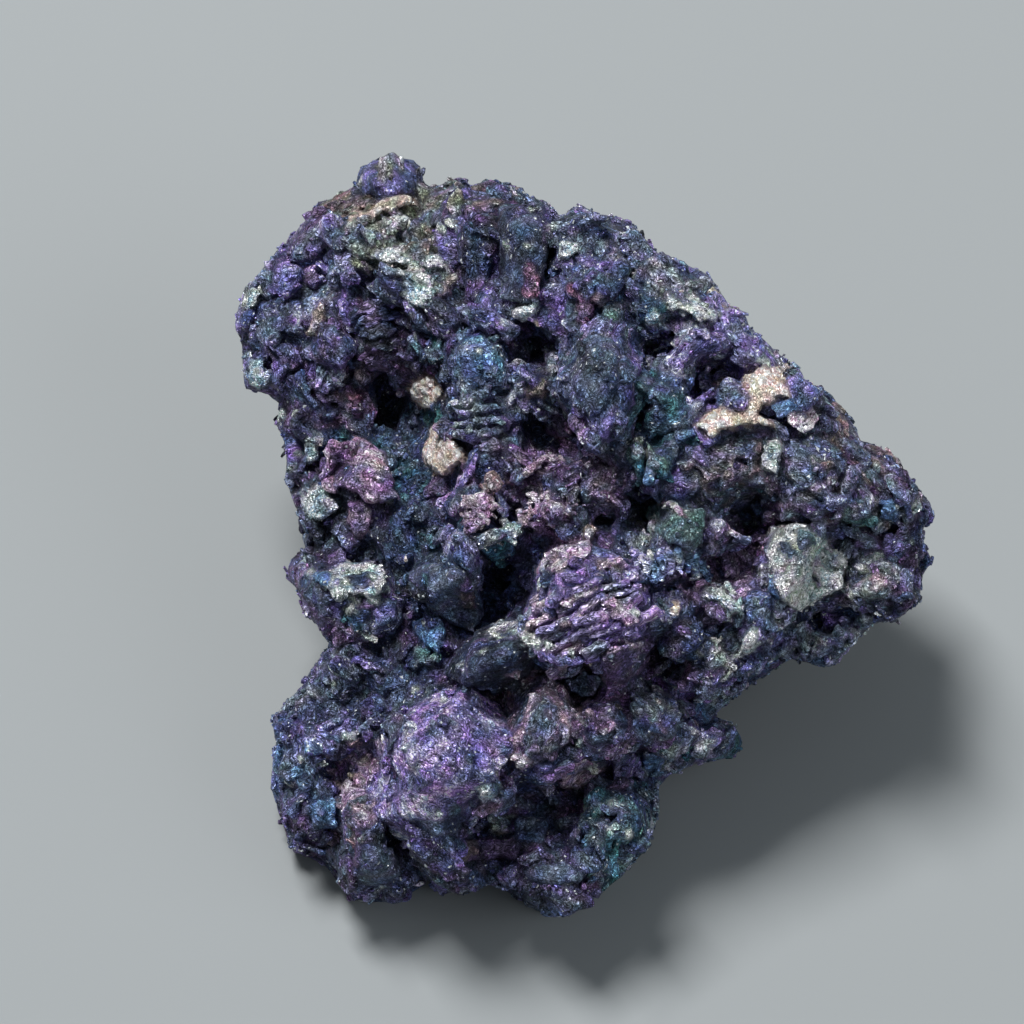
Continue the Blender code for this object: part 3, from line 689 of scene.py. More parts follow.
def top_middle(mass):
    """Crests along the top edge, standing slabs, and the nuggets below them."""
    mass.mound("olive", (
        (-5.6, 21.5), (-4.5, 21.5), (-3.5, 22.0), (-2.8, 21.3), (-2.3, 20.8), (-3.3, 19.8),
        (-4.5, 19.3), (-5.5, 19.1), (-6.7, 19.1), (-5.8, 20.5),
    ), 1.0, turn=35)
    mass.mound("rust", (
        (-2.8, 20.8), (-1.1, 21.9), (-0.1, 21.7), (0.7, 21.3), (0.7, 20.8), (-0.8, 20.5),
        (-2.1, 19.6), (-2.7, 20.0),
    ), 1.0)
    mass.perch(ring_shape, (0.3, 21.0, 0.0), (1.1, 1.0, 0.35), "grey")
    mass.mound("dusky", ((-3.1, 20.5), (-2.5, 20.6), (-2.2, 20.0), (-2.7, 19.3), (-3.1, 19.7)), 1.5)
    mass.mound("night", (
        (-3.3, 18.9), (-2.8, 19.5), (-1.8, 19.7), (-1.1, 19.3), (-0.9, 18.1), (-1.5, 16.1),
        (-1.3, 14.1), (-2.8, 14.3), (-3.3, 15.5), (-3.6, 17.8),
    ), 0.8, turn=80)
    mass.mound("smooth blue", ((-2.4, 19.6), (-1.6, 19.7), (-1.1, 19.2), (-1.3, 18.6), (-2.2, 19.0)), 1.2)
    mass.mound("smooth slate", (
        (-0.8, 20.5), (0.5, 20.7), (2.2, 20.4), (2.9, 19.8), (2.7, 18.5), (2.2, 16.9), (1.9, 15.5),
        (1.7, 14.0), (0.7, 13.8), (-0.5, 14.1), (-0.9, 17.5),
    ), 1.1, 0.7, 0.8, turn=85, slope=(-0.15, 0))
    mass.mound("wine", ((0.7, 16.7), (1.5, 16.7), (1.9, 15.5), (1.6, 14.3), (0.7, 14.4)), 1.25, 0.4, 0.5)
    mass.pit((2.5, 17.2, 0.0), (0.6, 3.6, 3.4))
    mass.mound("silver", ((0.1, 13.3), (0.5, 13.6), (1.9, 13.9), (1.7, 13.2), (0.7, 12.9)), 1.4, 0.3, 0.4)
    mass.knobs("silver", ((1.3, 20.2, 0.6, 0.5), (-0.4, 17.6, 0.7, 0.4), (1.2, 17.9, 0.35, 0.35)))
    mass.knobs("cream", ((1.7, 12.8, 0.4, 0.8),), 0.2)
    mass.knobs("pink", ((3.7, 12.3, 0.6, 0.5),), 0.2)
    mass.mound("smooth night", (
        (-7.0, 12.5), (-6.1, 12.9), (-4.8, 13.1), (-3.8, 12.8), (-4.0, 12.1), (-5.1, 11.8), (-6.5, 11.9),
    ), 1.1, 0.9)
    for side in (-1, 1):
        mass.grow(block_shape, (-5.7 + 0.6 * side, 10.8, 0.8), (0.4, 1.8, 1.0), "teal", turn=28 * -side)
    mass.mound("violet", (
        (-3.5, 13.6), (-2.5, 14.0), (-1.5, 13.6), (-0.5, 12.9), (0.3, 12.5), (0.1, 12.0),
        (-0.8, 12.0), (-2.1, 12.3), (-3.1, 12.7),
    ), 1.3, 0.6, 0.7, turn=-25, slope=(0, -0.25))
    mass.knobs("lavender", ((-1.8, 11.5, 1.0, 0.8), (-2.9, 13.3, 0.7, 0.5), (-0.4, 12.5, 0.7, 0.5)))
    mass.mound("druse", (
        (-4.5, 10.5), (-3.6, 11.7), (-2.0, 12.0), (-0.6, 11.3), (0.1, 9.8), (-0.4, 8.2), (-2.2, 7.4),
        (-3.9, 8.0),
    ), 1.6, 1.9, 2.2)
    for drop in range(4):
        at = (-2.3, 7.3 - 0.75 * drop, 0.6)
        mass.grow(plate_shape, at, (3.4, 0.5, 1.8), "slate", turn=6 - 4 * drop, tip=-15)
    mass.mound("cream", (
        (-6.9, 8.3), (-6.5, 8.9), (-5.8, 9.0), (-5.3, 8.5), (-4.8, 7.8), (-5.3, 7.0), (-6.0, 7.2),
        (-6.7, 7.6),
    ), 1.5, 0.8, 0.9, slope=(0, -0.3))
    mass.mound("cream", (
        (-6.0, 4.0), (-5.5, 4.8), (-5.3, 5.8), (-4.8, 6.1), (-4.6, 5.3), (-4.0, 4.8), (-3.4, 4.3),
        (-3.0, 3.8), (-3.6, 3.1), (-4.5, 2.4), (-5.1, 2.7), (-5.8, 3.3),
    ), 1.4, 0.7, 0.7, slope=(0, -0.3))
    mass.knobs("silver", ((-4.8, 11.2, 0.4, 0.4), (-6.3, 11.5, 0.4, 0.4), (-2.2, 10.6, 0.5, 0.3)))
    mass.mound("tan", (
        (0.7, 8.0), (1.2, 8.5), (2.2, 8.8), (2.5, 8.1), (1.9, 7.6), (1.1, 7.5),
    ), 1.1, 0.5, 0.5, slope=(0, -0.3))
    mass.mound("violet", ((-0.5, 7.6), (0.2, 8.5), (0.5, 7.5), (0.2, 6.7)), 0.8)
    mass.mound("grey", ((2.2, 10.9), (2.9, 10.9), (3.1, 9.4), (2.6, 8.9)), 0.9, turn=80)
    mass.mound("dusky", ((1.9, 6.5), (2.9, 6.5), (3.6, 5.8), (4.0, 5.1), (3.2, 4.8), (2.4, 5.3)), 1.0)


def top_right(mass):
    """The shoulder that falls to the right: crust, druse and a long folded lump."""
    mass.mound("violet", (
        (3.3, 19.3), (3.9, 20.1), (4.5, 20.3), (5.3, 19.9), (5.7, 19.5), (5.2, 18.7), (4.0, 18.8),
    ), 1.0, 1.0)
    mass.mound("dark", (
        (5.9, 19.3), (7.5, 19.3), (8.5, 18.7), (9.3, 17.9), (9.5, 17.1), (8.5, 16.9), (7.2, 17.5),
        (6.2, 18.1),
    ), 1.0, 0.9)
    mass.mound("silver", ((3.3, 17.9), (4.3, 17.9), (4.5, 17.3), (4.0, 16.9), (3.3, 16.9)), 1.3, 0.4, 0.5)
    mass.mound("violet", ((3.3, 16.8), (4.0, 16.8), (4.3, 15.8), (4.0, 14.8), (3.4, 15.5)), 1.1)
    mass.perch(ring_shape, (4.8, 16.5, 0.1), (0.9, 0.6, 0.22), "silver", turn=20)
    mass.perch(ring_shape, (4.7, 15.9, 0.1), (0.8, 0.5, 0.22), "silver", turn=-10)
    mass.mound("blue", ((5.2, 16.4), (6.5, 16.6), (6.1, 16.0), (5.3, 15.6), (4.9, 14.8), (4.5, 15.2)), 1.3)
    mass.mound("wine", ((4.4, 14.8), (5.2, 14.9), (5.3, 13.5), (4.9, 12.1), (4.3, 12.6), (4.3, 13.6)), 0.9)
    mass.mound("smooth rust", (
        (5.5, 15.1), (6.7, 15.5), (7.1, 14.7), (6.5, 14.1), (5.9, 13.6), (5.3, 14.1),
    ), 1.2)
    mass.mound("green", ((5.9, 13.8), (7.2, 14.1), (7.5, 12.8), (6.7, 11.3), (5.9, 11.8)), 0.9)
    mass.mound("teal", (
        (8.0, 13.8), (8.9, 14.7), (9.9, 14.3), (10.4, 13.3), (9.9, 12.5), (8.9, 12.5), (8.4, 12.9),
    ), 1.1)
    mass.mound("ice", ((8.9, 13.2), (9.7, 13.5), (10.2, 13.0), (9.8, 12.5), (9.0, 12.6)), 1.4, 0.3, 0.4)
    mass.mound("ice", (
        (10.5, 14.6), (11.2, 14.8), (12.0, 14.7), (13.1, 14.1), (13.7, 13.3), (13.5, 12.7),
        (12.5, 12.7), (12.0, 13.3), (10.7, 13.6),
    ), 1.7, 0.3, 0.4, slope=(0, -0.5))
    mass.mound("tan", ((12.9, 15.4), (13.7, 15.0), (13.8, 14.4), (13.1, 14.4)), 0.9)
    mass.pit((10.7, 11.9, 0.0), (0.9, 0.8, 2.0))
    mass.mound("ribbed blue", (
        (10.7, 10.8), (11.9, 11.3), (12.5, 12.1), (13.7, 12.1), (15.1, 11.8), (14.9, 10.8),
        (13.9, 10.3), (12.5, 10.4), (11.9, 9.9), (11.1, 9.7), (10.5, 10.1),
    ), 1.4, 1.0, 1.1, turn=58, slope=(0, -0.2))
    mass.pit((13.4, 9.4, 0.0), (1.8, 0.9, 2.6))
    mass.mound("dusky", ((13.9, 14.1), (14.6, 13.9), (15.3, 12.7), (14.6, 12.3), (13.9, 12.9)), 0.9)
    mass.mound("grey", (
        (15.6, 11.4), (17.4, 10.6), (18.8, 9.3), (18.3, 8.9), (16.8, 9.7), (15.7, 10.5),
    ), 0.8)
    mass.knobs("pink", (
        (15.5, 12.3, 0.7, 0.5), (16.0, 11.6, 0.6, 0.5), (9.9, 17.0, 0.8, 0.5), (10.4, 15.8, 0.4, 0.4),
    ))
    mass.knobs("silver", ((7.4, 18.3, 0.5, 0.4), (16.6, 10.3, 0.7, 0.4), (17.8, 9.5, 0.6, 0.4)))
    mass.knobs("plum", ((11.4, 12.6, 1.2, 1.1),), 0.2)
    mass.mound("teal", (
        (8.5, 8.5), (9.9, 8.9), (10.9, 8.3), (11.9, 7.5), (12.5, 6.5), (11.9, 5.5), (10.5, 5.3),
        (9.2, 4.8), (8.7, 5.8), (9.1, 7.1),
    ), 1.0, 1.2, 1.4)
    mass.mound("blue", ((10.9, 5.6), (12.0, 5.7), (12.2, 5.0), (11.0, 4.7)), 1.1)
    mass.mound("violet", ((12.6, 9.4), (13.4, 9.2), (13.5, 7.6), (12.7, 7.4)), 0.9, turn=80)


def tongue(mass):
    """A big leaf in the middle of the upper half, smoother inside, with a bevel at its foot."""
    mass.mound("slate", (
        (3.3, 11.1), (4.5, 12.5), (5.9, 13.0), (7.5, 12.7), (8.9, 11.7), (8.7, 10.1), (8.2, 8.5),
        (8.0, 7.3), (7.2, 5.8), (5.9, 4.5), (5.2, 5.0), (4.0, 5.9), (3.3, 7.1), (2.9, 8.5), (3.0, 10.0),
    ), 1.3, 0.6, 0.8, turn=70, slope=(0.05, -0.06))
    mass.mound("smooth slate", (
        (4.2, 11.2), (5.2, 11.9), (6.6, 11.6), (7.4, 10.3), (7.0, 8.3), (6.0, 6.5), (5.0, 6.3),
        (4.2, 7.6), (3.9, 9.4),
    ), 1.6, 0.4, 0.5, turn=70, slope=(0.05, -0.08))
    mass.mound("smooth violet", (
        (5.9, 6.1), (6.7, 6.9), (8.0, 7.9), (8.2, 7.3), (7.2, 6.1), (6.0, 4.7), (5.6, 4.7),
    ), 1.5, 0.6, 0.5, turn=40, slope=(-0.4, 0))
    mass.pit((8.6, 6.3, -0.3), (0.6, 3.0, 2.4), turn=-34)


def cracked_patch(mass):
    """A pale cracked leaf that rises to the right, over a dark hollow."""
    mass.mound("lavender", ((12.5, 8.6), (13.3, 9.0), (13.8, 8.2), (13.6, 7.2), (12.7, 7.3)), 1.0, 0.6, 0.7)
    mass.mound("tan", (
        (13.8, 7.1), (14.8, 7.5), (15.1, 8.2), (14.7, 9.0), (14.0, 9.2), (13.4, 8.6), (13.5, 7.8),
    ), 1.0, 0.4, 0.5)
    mass.mound("cream", (
        (12.4, 5.7), (12.8, 6.2), (13.1, 6.6), (14.2, 7.0), (15.0, 7.3), (15.2, 7.9), (14.8, 8.4),
        (15.5, 9.1), (16.4, 9.6), (18.1, 9.9), (18.5, 9.6), (17.9, 9.1), (18.7, 8.2), (18.5, 7.7),
        (17.6, 7.5), (16.6, 7.0), (16.4, 6.5), (17.3, 5.9), (15.7, 5.9), (14.7, 5.6), (13.8, 5.5),
        (13.4, 5.0), (13.1, 5.2),
    ), 1.3, 0.3, 0.3, turn=25, slope=(0.04, -0.2))
    mass.mound("grey", ((18.0, 9.4), (18.8, 9.9), (19.5, 9.0), (19.3, 8.3), (18.6, 8.4)), 1.2, 0.4, 0.5)
    mass.perch(ring_shape, (18.9, 9.0, 0.0), (1.1, 1.0, 0.3), "slate", turn=20)
    mass.mound("smooth blue", (
        (17.3, 7.0), (18.3, 7.4), (19.3, 7.9), (20.1, 7.5), (19.6, 6.9), (18.4, 6.6), (17.6, 6.4),
    ), 1.5, 0.3, 0.3, slope=(0, -0.3))
    mass.mound("pink", (
        (18.6, 6.3), (19.3, 7.0), (20.1, 6.9), (20.4, 6.2), (19.3, 5.9),
    ), 1.4, 0.3, 0.3, slope=(0, -0.4))
    mass.pit((17.3, 6.5, 0.2), (2.0, 0.35, 1.4), turn=-12)
    mass.mound("ribbed teal", (
        (20.3, 7.4), (21.3, 7.2), (21.5, 5.8), (20.6, 5.4), (20.2, 6.4),
    ), 1.1, turn=60)
    mass.mound("rust", ((21.6, 7.1), (22.3, 6.2), (22.0, 5.2), (21.5, 5.7)), 0.8)
    mass.mound("night", ((15.0, 5.4), (17.0, 5.6), (19.4, 5.9), (19.2, 5.1), (17.2, 4.8), (15.3, 4.7)), 0.7)


def right_wing(mass):
    """The wing that runs out to the right, over a long black crack."""
    mass.mound("wing", (
        (11.5, 4.6), (13.5, 4.6), (15.0, 4.6), (16.5, 4.8), (16.6, 2.6), (15.9, 0.4), (13.8, 0.0),
        (12.0, 1.5),
    ), 0.9, 1.2, 1.5)
    mass.mound("wing", (
        (18.2, 5.0), (20.5, 5.2), (22.4, 4.9), (22.6, 3.0), (21.5, 1.6), (19.0, 1.0), (18.0, 2.6),
    ), 1.0, 1.2, 1.5, turn=-20)
    mass.mound("rust", (
        (22.4, 4.6), (23.6, 4.1), (25.2, 3.2), (25.6, 2.2), (24.0, 1.6), (22.7, 2.3),
    ), 1.0, 1.0, 1.2, turn=-35)
    mass.mound("silver", (
        (16.9, 4.1), (17.1, 4.7), (17.7, 4.8), (18.0, 4.1), (17.7, 3.3), (17.3, 2.8), (16.8, 2.9),
        (16.7, 3.6),
    ), 1.5, 0.4, 0.5, slope=(0, -0.3))
    mass.pit((15.4, 3.4, 0.1), (0.9, 0.6, 1.4), turn=30)
    mass.knobs("lavender", ((12.8, 3.7, 1.2, 0.9), (21.5, -0.1, 0.5, 0.8)), 0.15)
    # Teal specks: painted glints.
    mass.knobs("teal", ((16.6, 1.6, 0.7, 0.5), (17.3, 1.2, 0.8, 0.5)))
    mass.knobs("silver", (
        (24.3, 4.5, 0.5, 0.35), (22.9, 1.9, 0.35, 0.4), (23.6, 1.0, 0.45, 0.35), (19.9, 0.4, 0.4, 0.3),
    ))
    mass.mound("ribbed blue", (
        (20.8, 1.4), (22.4, 1.2), (22.6, 0.4), (21.2, 0.1), (20.7, 0.6),
    ), 1.2, turn=60)
    mass.mound("green", (
        (21.9, 0.3), (22.9, 0.4), (23.8, 0.0), (24.2, -0.8), (23.0, -1.0), (21.9, -0.6),
    ), 1.1, 0.6, 0.7, slope=(0, -0.3))
    mass.mound("smooth blue", ((24.5, 0.9), (25.6, 1.0), (26.2, -0.2), (25.6, -0.9), (24.6, -0.3)), 0.9)
    for count in range(3):
        at = (25.7 + 0.55 * count, 0.5 - 0.3 * count, 0.1)
        mass.perch(block_shape, at, (0.35, 1.6, 0.8), "ice", turn=-48)
    mass.mound("plum", ((25.5, -0.5), (27.2, -0.6), (27.3, -2.0), (26.0, -2.4), (25.4, -1.5)), 0.9)
    mass.mound("plum", (
        (16.4, 0.6), (18.9, 1.0), (21.0, 0.4), (20.7, -0.4), (18.6, -0.2), (16.6, -0.3),
    ), 0.8)
    mass.pit((18.4, -0.75, -0.2), (3.8, 0.7, 4.0))
    mass.pit((21.2, -1.2, -0.2), (2.8, 0.8, 4.4), turn=-22)
    mass.pit((24.1, -1.35, -0.2), (3.4, 0.6, 4.0), turn=4)


def below_the_crack(mass):
    """Silver foil, shells and druse under the wing."""
    mass.mound("silver", (
        (17.1, -1.2), (17.5, -0.9), (19.5, -0.9), (20.2, -1.5), (21.7, -2.7), (22.2, -3.5),
        (22.0, -5.2), (20.5, -5.7), (19.2, -6.5), (18.2, -5.9), (17.5, -4.5), (16.9, -2.9),
    ), 1.7, 0.4, 0.4, turn=30, slope=(0.02, -0.35))
    mass.mound("smooth green", ((18.9, -1.0), (20.1, -1.4), (20.2, -2.2), (19.0, -1.9)), 1.8, 0.3, 0.4)
    mass.mound("mauve", ((18.9, -4.9), (20.0, -4.8), (20.1, -5.9), (19.1, -6.2)), 1.7, 0.3, 0.4)
    mass.mound("smooth slate", (
        (17.6, -2.2), (18.9, -2.5), (19.9, -3.5), (19.2, -4.1), (18.2, -3.2),
    ), 1.6, 0.3, 0.4)
    mass.pit((20.3, -4.6, 0.2), (1.9, 0.4, 1.2), turn=-40)
    mass.mound("ice", ((20.6, -2.6), (21.7, -2.8), (22.1, -3.8), (21.2, -4.4), (20.5, -3.6)), 1.7, 0.4, 0.5)
    mass.mound("smooth plum", ((22.6, -1.5), (24.4, -1.6), (24.7, -2.3), (23.0, -2.6)), 1.2)
    mass.mound("dark", (
        (24.9, -1.5), (26.8, -1.7), (27.3, -3.0), (26.0, -3.6), (24.7, -2.7),
    ), 0.9, 1.0, 1.2)
    mass.mound("grey", (
        (22.3, -3.4), (24.5, -2.9), (26.6, -3.6), (27.0, -5.6), (25.3, -6.4), (23.0, -6.0), (22.2, -4.8),
    ), 0.9, 1.0, 1.2)
    mass.knobs("rose", ((24.3, -4.7, 1.0, 1.0),), 0.1)
    mass.knobs("silver", ((26.7, -2.3, 0.5, 0.3), (23.4, -4.0, 0.4, 0.3), (25.4, -5.3, 0.4, 0.4)))
    mass.pit((21.4, -7.2, 0.2), (3.6, 1.6, 4.2))
    mass.mound("grey", ((23.2, -6.8), (25.2, -6.6), (25.9, -7.1), (24.4, -7.9), (23.3, -7.8)), 0.9)
    for step in range(6):
        at = (19.9 + 0.45 * step, -9.3, 0.5)
        mass.grow(block_shape, at, (0.4, 1.9, 1.4), "slate", turn=30 - 12 * step)
    mass.mound("violet", ((20.5, -6.6), (22.8, -6.6), (23.2, -7.6), (21.0, -7.8)), -0.4)
    mass.mound("navy", (
        (15.2, -5.9), (16.0, -5.1), (17.3, -5.4), (17.6, -6.6), (17.0, -7.6), (15.7, -7.4),
    ), 1.0, 0.8)
    mass.mound("smooth blue", ((17.1, -4.2), (17.8, -4.4), (18.5, -5.7), (17.8, -6.0), (17.1, -5.1)), 1.3)
    mass.perch(ring_shape, (16.7, -5.2, 0.05), (0.75, 0.65, 0.2), "tan")
    mass.mound("silver", (
        (12.5, -4.9), (13.5, -4.8), (14.1, -5.1), (14.9, -5.9), (15.2, -6.5), (14.5, -6.8),
        (13.9, -6.0), (13.1, -5.7),
    ), 1.4, 0.6, 0.6, turn=-40, slope=(0, -0.2))
    mass.mound("silver", ((13.9, -6.2), (14.5, -6.3), (14.5, -7.3), (14.0, -7.3)), 1.3, 0.4, 0.4)
    mass.mound("silver", (
        (16.3, -7.6), (16.6, -8.5), (16.2, -9.5), (15.5, -10.2), (15.3, -10.9), (14.8, -10.9),
        (14.3, -10.4), (14.5, -9.6), (15.1, -9.2), (15.4, -8.5), (15.9, -7.8),
    ), 1.4, 0.6, 0.6, turn=60)
    mass.mound("blue", ((16.7, -7.9), (18.2, -8.0), (18.0, -9.8), (16.8, -10.4), (16.4, -9.4)), 0.9)
    mass.mound("grey", (
        (12.5, -8.5), (13.3, -8.4), (14.0, -8.9), (14.4, -9.5), (14.9, -10.9), (15.2, -11.9),
        (14.2, -12.2), (13.5, -11.2), (12.9, -10.5), (12.5, -9.5),
    ), 1.1)
    mass.perch(ring_shape, (13.3, -9.2, 0.0), (1.2, 1.4, 0.3), "silver", turn=10)
    mass.perch(arc_shape, (13.9, -10.9, 0.0), (1.0, 1.8, 0.3), "silver", turn=-70)
    mass.mound("lavender", ((12.5, -11.2), (13.6, -11.3), (14.2, -12.2), (13.2, -12.5), (12.4, -12.0)), 0.9)
    mass.mound("dark", (
        (9.3, -5.3), (11.2, -5.0), (12.2, -6.6), (12.0, -8.8), (10.6, -9.4), (9.5, -8.2),
    ), 0.8)
    mass.knobs("cream", ((10.8, -6.4, 0.45, 0.45), (10.8, -10.8, 0.4, 0.3)), 0.15)
    mass.knobs("silver", ((10.7, -11.2, 0.9, 0.45), (11.9, -10.2, 0.4, 0.4)), 0.1)
    mass.mound("ribbed blue", (
        (12.0, -12.8), (13.6, -12.5), (14.2, -13.2), (12.8, -13.9), (11.6, -13.7),
    ), 1.0)


def middle(mass):
    """The middle of the face: cavities between leaning plates, blades and rings."""
    mass.mound("green", (
        (8.1, 4.8), (8.5, 4.5), (8.9, 2.8), (8.5, 1.5), (8.2, 2.8),
    ), 1.5, 0.4, 0.4, turn=85)
    mass.mound("green", (
        (9.1, 4.6), (10.2, 3.3), (10.8, 1.8), (9.9, 2.1), (9.2, 2.9),
    ), 1.3, 0.5, 0.5, turn=-60, slope=(-0.3, 0))
    mass.mound("smooth blue", (
        (8.7, 2.1), (9.2, 2.5), (9.7, 2.1), (9.5, 1.6), (8.8, 1.6),
    ), 1.9, 0.3, 0.4, slope=(0, -0.45))
    mass.mound("smooth green", (
        (9.1, 0.5), (10.0, 0.7), (11.2, 0.5), (12.5, 0.1), (12.9, -0.9), (12.6, -2.2), (11.9, -2.6),
        (10.7, -2.0), (9.5, -1.2), (8.9, -0.3),
    ), 1.7, 0.25, 0.3, slope=(0.12, -0.22))
    # A pale strip and silver specks on the green facet: painted glints.
    mass.mound("tan", ((9.9, 0.6), (11.2, 0.4), (11.8, -0.4), (11.0, 0.0), (10.2, 0.2)), 2.1, 0.3, 0.4)
    mass.knobs("silver", ((12.5, -2.2, 0.8, 0.4), (10.2, 0.4, 0.5, 0.35), (10.9, 0.2, 0.5, 0.35)), 0.1)
    mass.pit((12.6, 0.35, 0.1), (1.0, 0.6, 2.0))
    mass.mound("slate", ((6.6, 0.3), (8.6, 0.4), (8.7, -1.5), (7.2, -2.2), (6.4, -1.2)), 0.7)
    for step in range(9):
        at = (8.2 + 0.58 * step, -3.4 - 0.45 * math.sin(0.9 * step), 0.8)
        mass.grow(block_shape, at, (0.44, 1.8, 1.4), "ribbed blue", turn=9 * math.sin(step), tip=12)
    mass.knobs("silver", ((11.1, -3.0, 0.35, 0.35), (9.4, -2.9, 0.3, 0.3)), 0.1)
    mass.pit((11.0, -5.0, 0.2), (4.0, 0.7, 3.4), turn=6)
    mass.knobs("lavender", ((13.8, -1.2, 1.3, 1.2),), 0.1)
    mass.pit((13.1, -0.6, 0.2), (0.5, 0.8, 2.0))
    mass.mound("dusky", (
        (4.5, 2.3), (5.9, 3.3), (6.7, 2.9), (7.1, 1.5), (6.4, 0.5), (5.6, 0.8), (4.8, 0.5),
    ), 1.0, 0.7, 0.8, turn=50)
    mass.pit((6.3, -0.5, 0.0), (1.5, 1.1, 3.0))
    mass.mound("dusky", (
        (3.7, 1.8), (4.2, 2.1), (4.5, 1.5), (4.3, 0.5), (3.9, -0.5), (3.6, 0.5),
    ), 1.3, 0.5, 0.5)
    mass.mound("rose", (
        (1.8, 0.5), (2.7, 0.8), (3.5, 0.7), (3.8, 0.0), (3.3, -0.8), (2.5, -1.0), (1.9, -0.4),
    ), 1.6, 1.0, 1.1)
    mass.knobs("pink", ((2.0, 1.1, 0.6, 0.6), (2.6, 1.0, 0.5, 0.4)), 0.1)
    mass.grow(ring_shape, (1.3, 0.6, 0.9), (0.8, 1.5, 0.3), "mauve", turn=-8)
    mass.grow(arc_shape, (2.0, 2.4, 0.9), (3.0, 2.6, 0.5), "dusky")
    mass.pit((2.0, 2.6, 0.4), (1.7, 1.1, 2.6))
    mass.mound("tan", ((4.8, -1.2), (5.2, -0.7), (5.6, -1.1), (5.5, -1.8), (5.0, -1.8)), 1.4, 0.5, 0.5)
    mass.knobs("silver", ((4.4, -0.9, 0.4, 0.35), (4.3, -1.5, 0.3, 0.3), (-4.0, -2.0, 0.45, 0.6)), 0.1)
    mass.pit((0.4, -0.2, 0.1), (0.8, 1.6, 2.4))


def blades(mass):
    """Thin blades, a stack of pink leaves and a bright bar around a black hole."""
    mass.mound("orchid", (
        (-4.3, 0.8), (-3.8, 1.8), (-3.1, 2.9), (-2.5, 4.0), (-2.2, 3.6), (-2.4, 2.8), (-3.1, 1.8),
        (-3.8, 0.8),
    ), 1.5, 0.4, 0.4, turn=55, slope=(0.2, 0))
    mass.mound("tan", (
        (-2.1, 1.6), (-1.6, 2.3), (-0.9, 2.2), (-1.1, 1.5), (-1.5, 0.6), (-1.9, 0.9),
    ), 1.5, 0.4, 0.4)
    mass.mound("lavender", (
        (-1.1, 1.9), (-0.6, 0.9), (0.1, 0.0), (-0.5, -0.3), (-1.1, 0.5),
    ), 1.4, 0.4, 0.4, turn=-55)
    for drop in range(4):
        at = (-2.4 + 0.05 * drop, 0.6 - 0.5 * drop, 1.1)
        mass.grow(plate_shape, at, (2.5 - 0.2 * drop, 0.5, 1.2), "rose", turn=30, tip=-25)
    # Pink specks on the stack: painted highlights.
    mass.knobs("pink", ((-2.1, -0.3, 0.9, 0.45), (-2.9, 0.6, 0.7, 0.4)), 0.15)
    mass.mound("ice", (
        (-2.4, -1.9), (-1.5, -1.2), (-0.1, -0.8), (0.8, -0.8), (0.8, -1.4), (-0.5, -1.9), (-2.1, -2.4),
    ), 1.6, 0.3, 0.35, turn=18, slope=(0, -0.35))
    mass.mound("teal", (
        (-2.2, -2.4), (-0.8, -2.0), (0.5, -1.6), (0.0, -2.8), (-1.4, -3.4),
    ), 1.0, 0.5, 0.6, turn=18)
    mass.mound("violet", (
        (-4.7, -1.6), (-3.6, -1.2), (-2.6, -1.8), (-2.0, -3.4), (-1.9, -5.0), (-2.8, -4.6),
        (-3.6, -3.4), (-4.4, -2.8),
    ), 1.5, 0.7, 0.7, turn=-60)
    mass.knobs("silver", ((-4.6, -1.5, 0.5, 0.6), (-2.2, -1.5, 0.3, 0.3), (-4.4, -0.6, 0.4, 0.3)), 0.1)
    mass.mound("smooth slate", (
        (-7.0, -4.1), (-5.1, -3.3), (-3.6, -3.5), (-2.5, -4.6), (-2.1, -5.6), (-2.0, -6.9),
        (-2.6, -7.9), (-4.3, -7.3), (-5.8, -6.1),
    ), 1.3, 0.8, 0.9, turn=-35, slope=(0.08, -0.06))
    mass.mound("smooth rust", ((-3.7, -5.1), (-2.5, -5.0), (-2.4, -6.6), (-3.2, -6.3)), 1.6, 0.3, 0.4)
    mass.pit((-0.9, -4.4, 0.2), (2.2, 2.3, 5.0))
    mass.mound("teal", (
        (-7.4, 1.9), (-5.5, 2.2), (-4.6, 0.5), (-5.0, -2.4), (-7.2, -3.4), (-8.0, -1.0),
    ), -0.2)
    mass.mound("smooth blue", (
        (-6.7, -7.5), (-5.8, -7.0), (-4.8, -7.3), (-4.4, -8.5), (-4.9, -9.5), (-5.8, -8.9),
    ), 1.2, 0.5, 0.6, slope=(0, -0.2))
    mass.mound("green", ((-6.4, -9.0), (-5.4, -9.2), (-5.2, -10.1), (-6.2, -10.0)), 0.9)


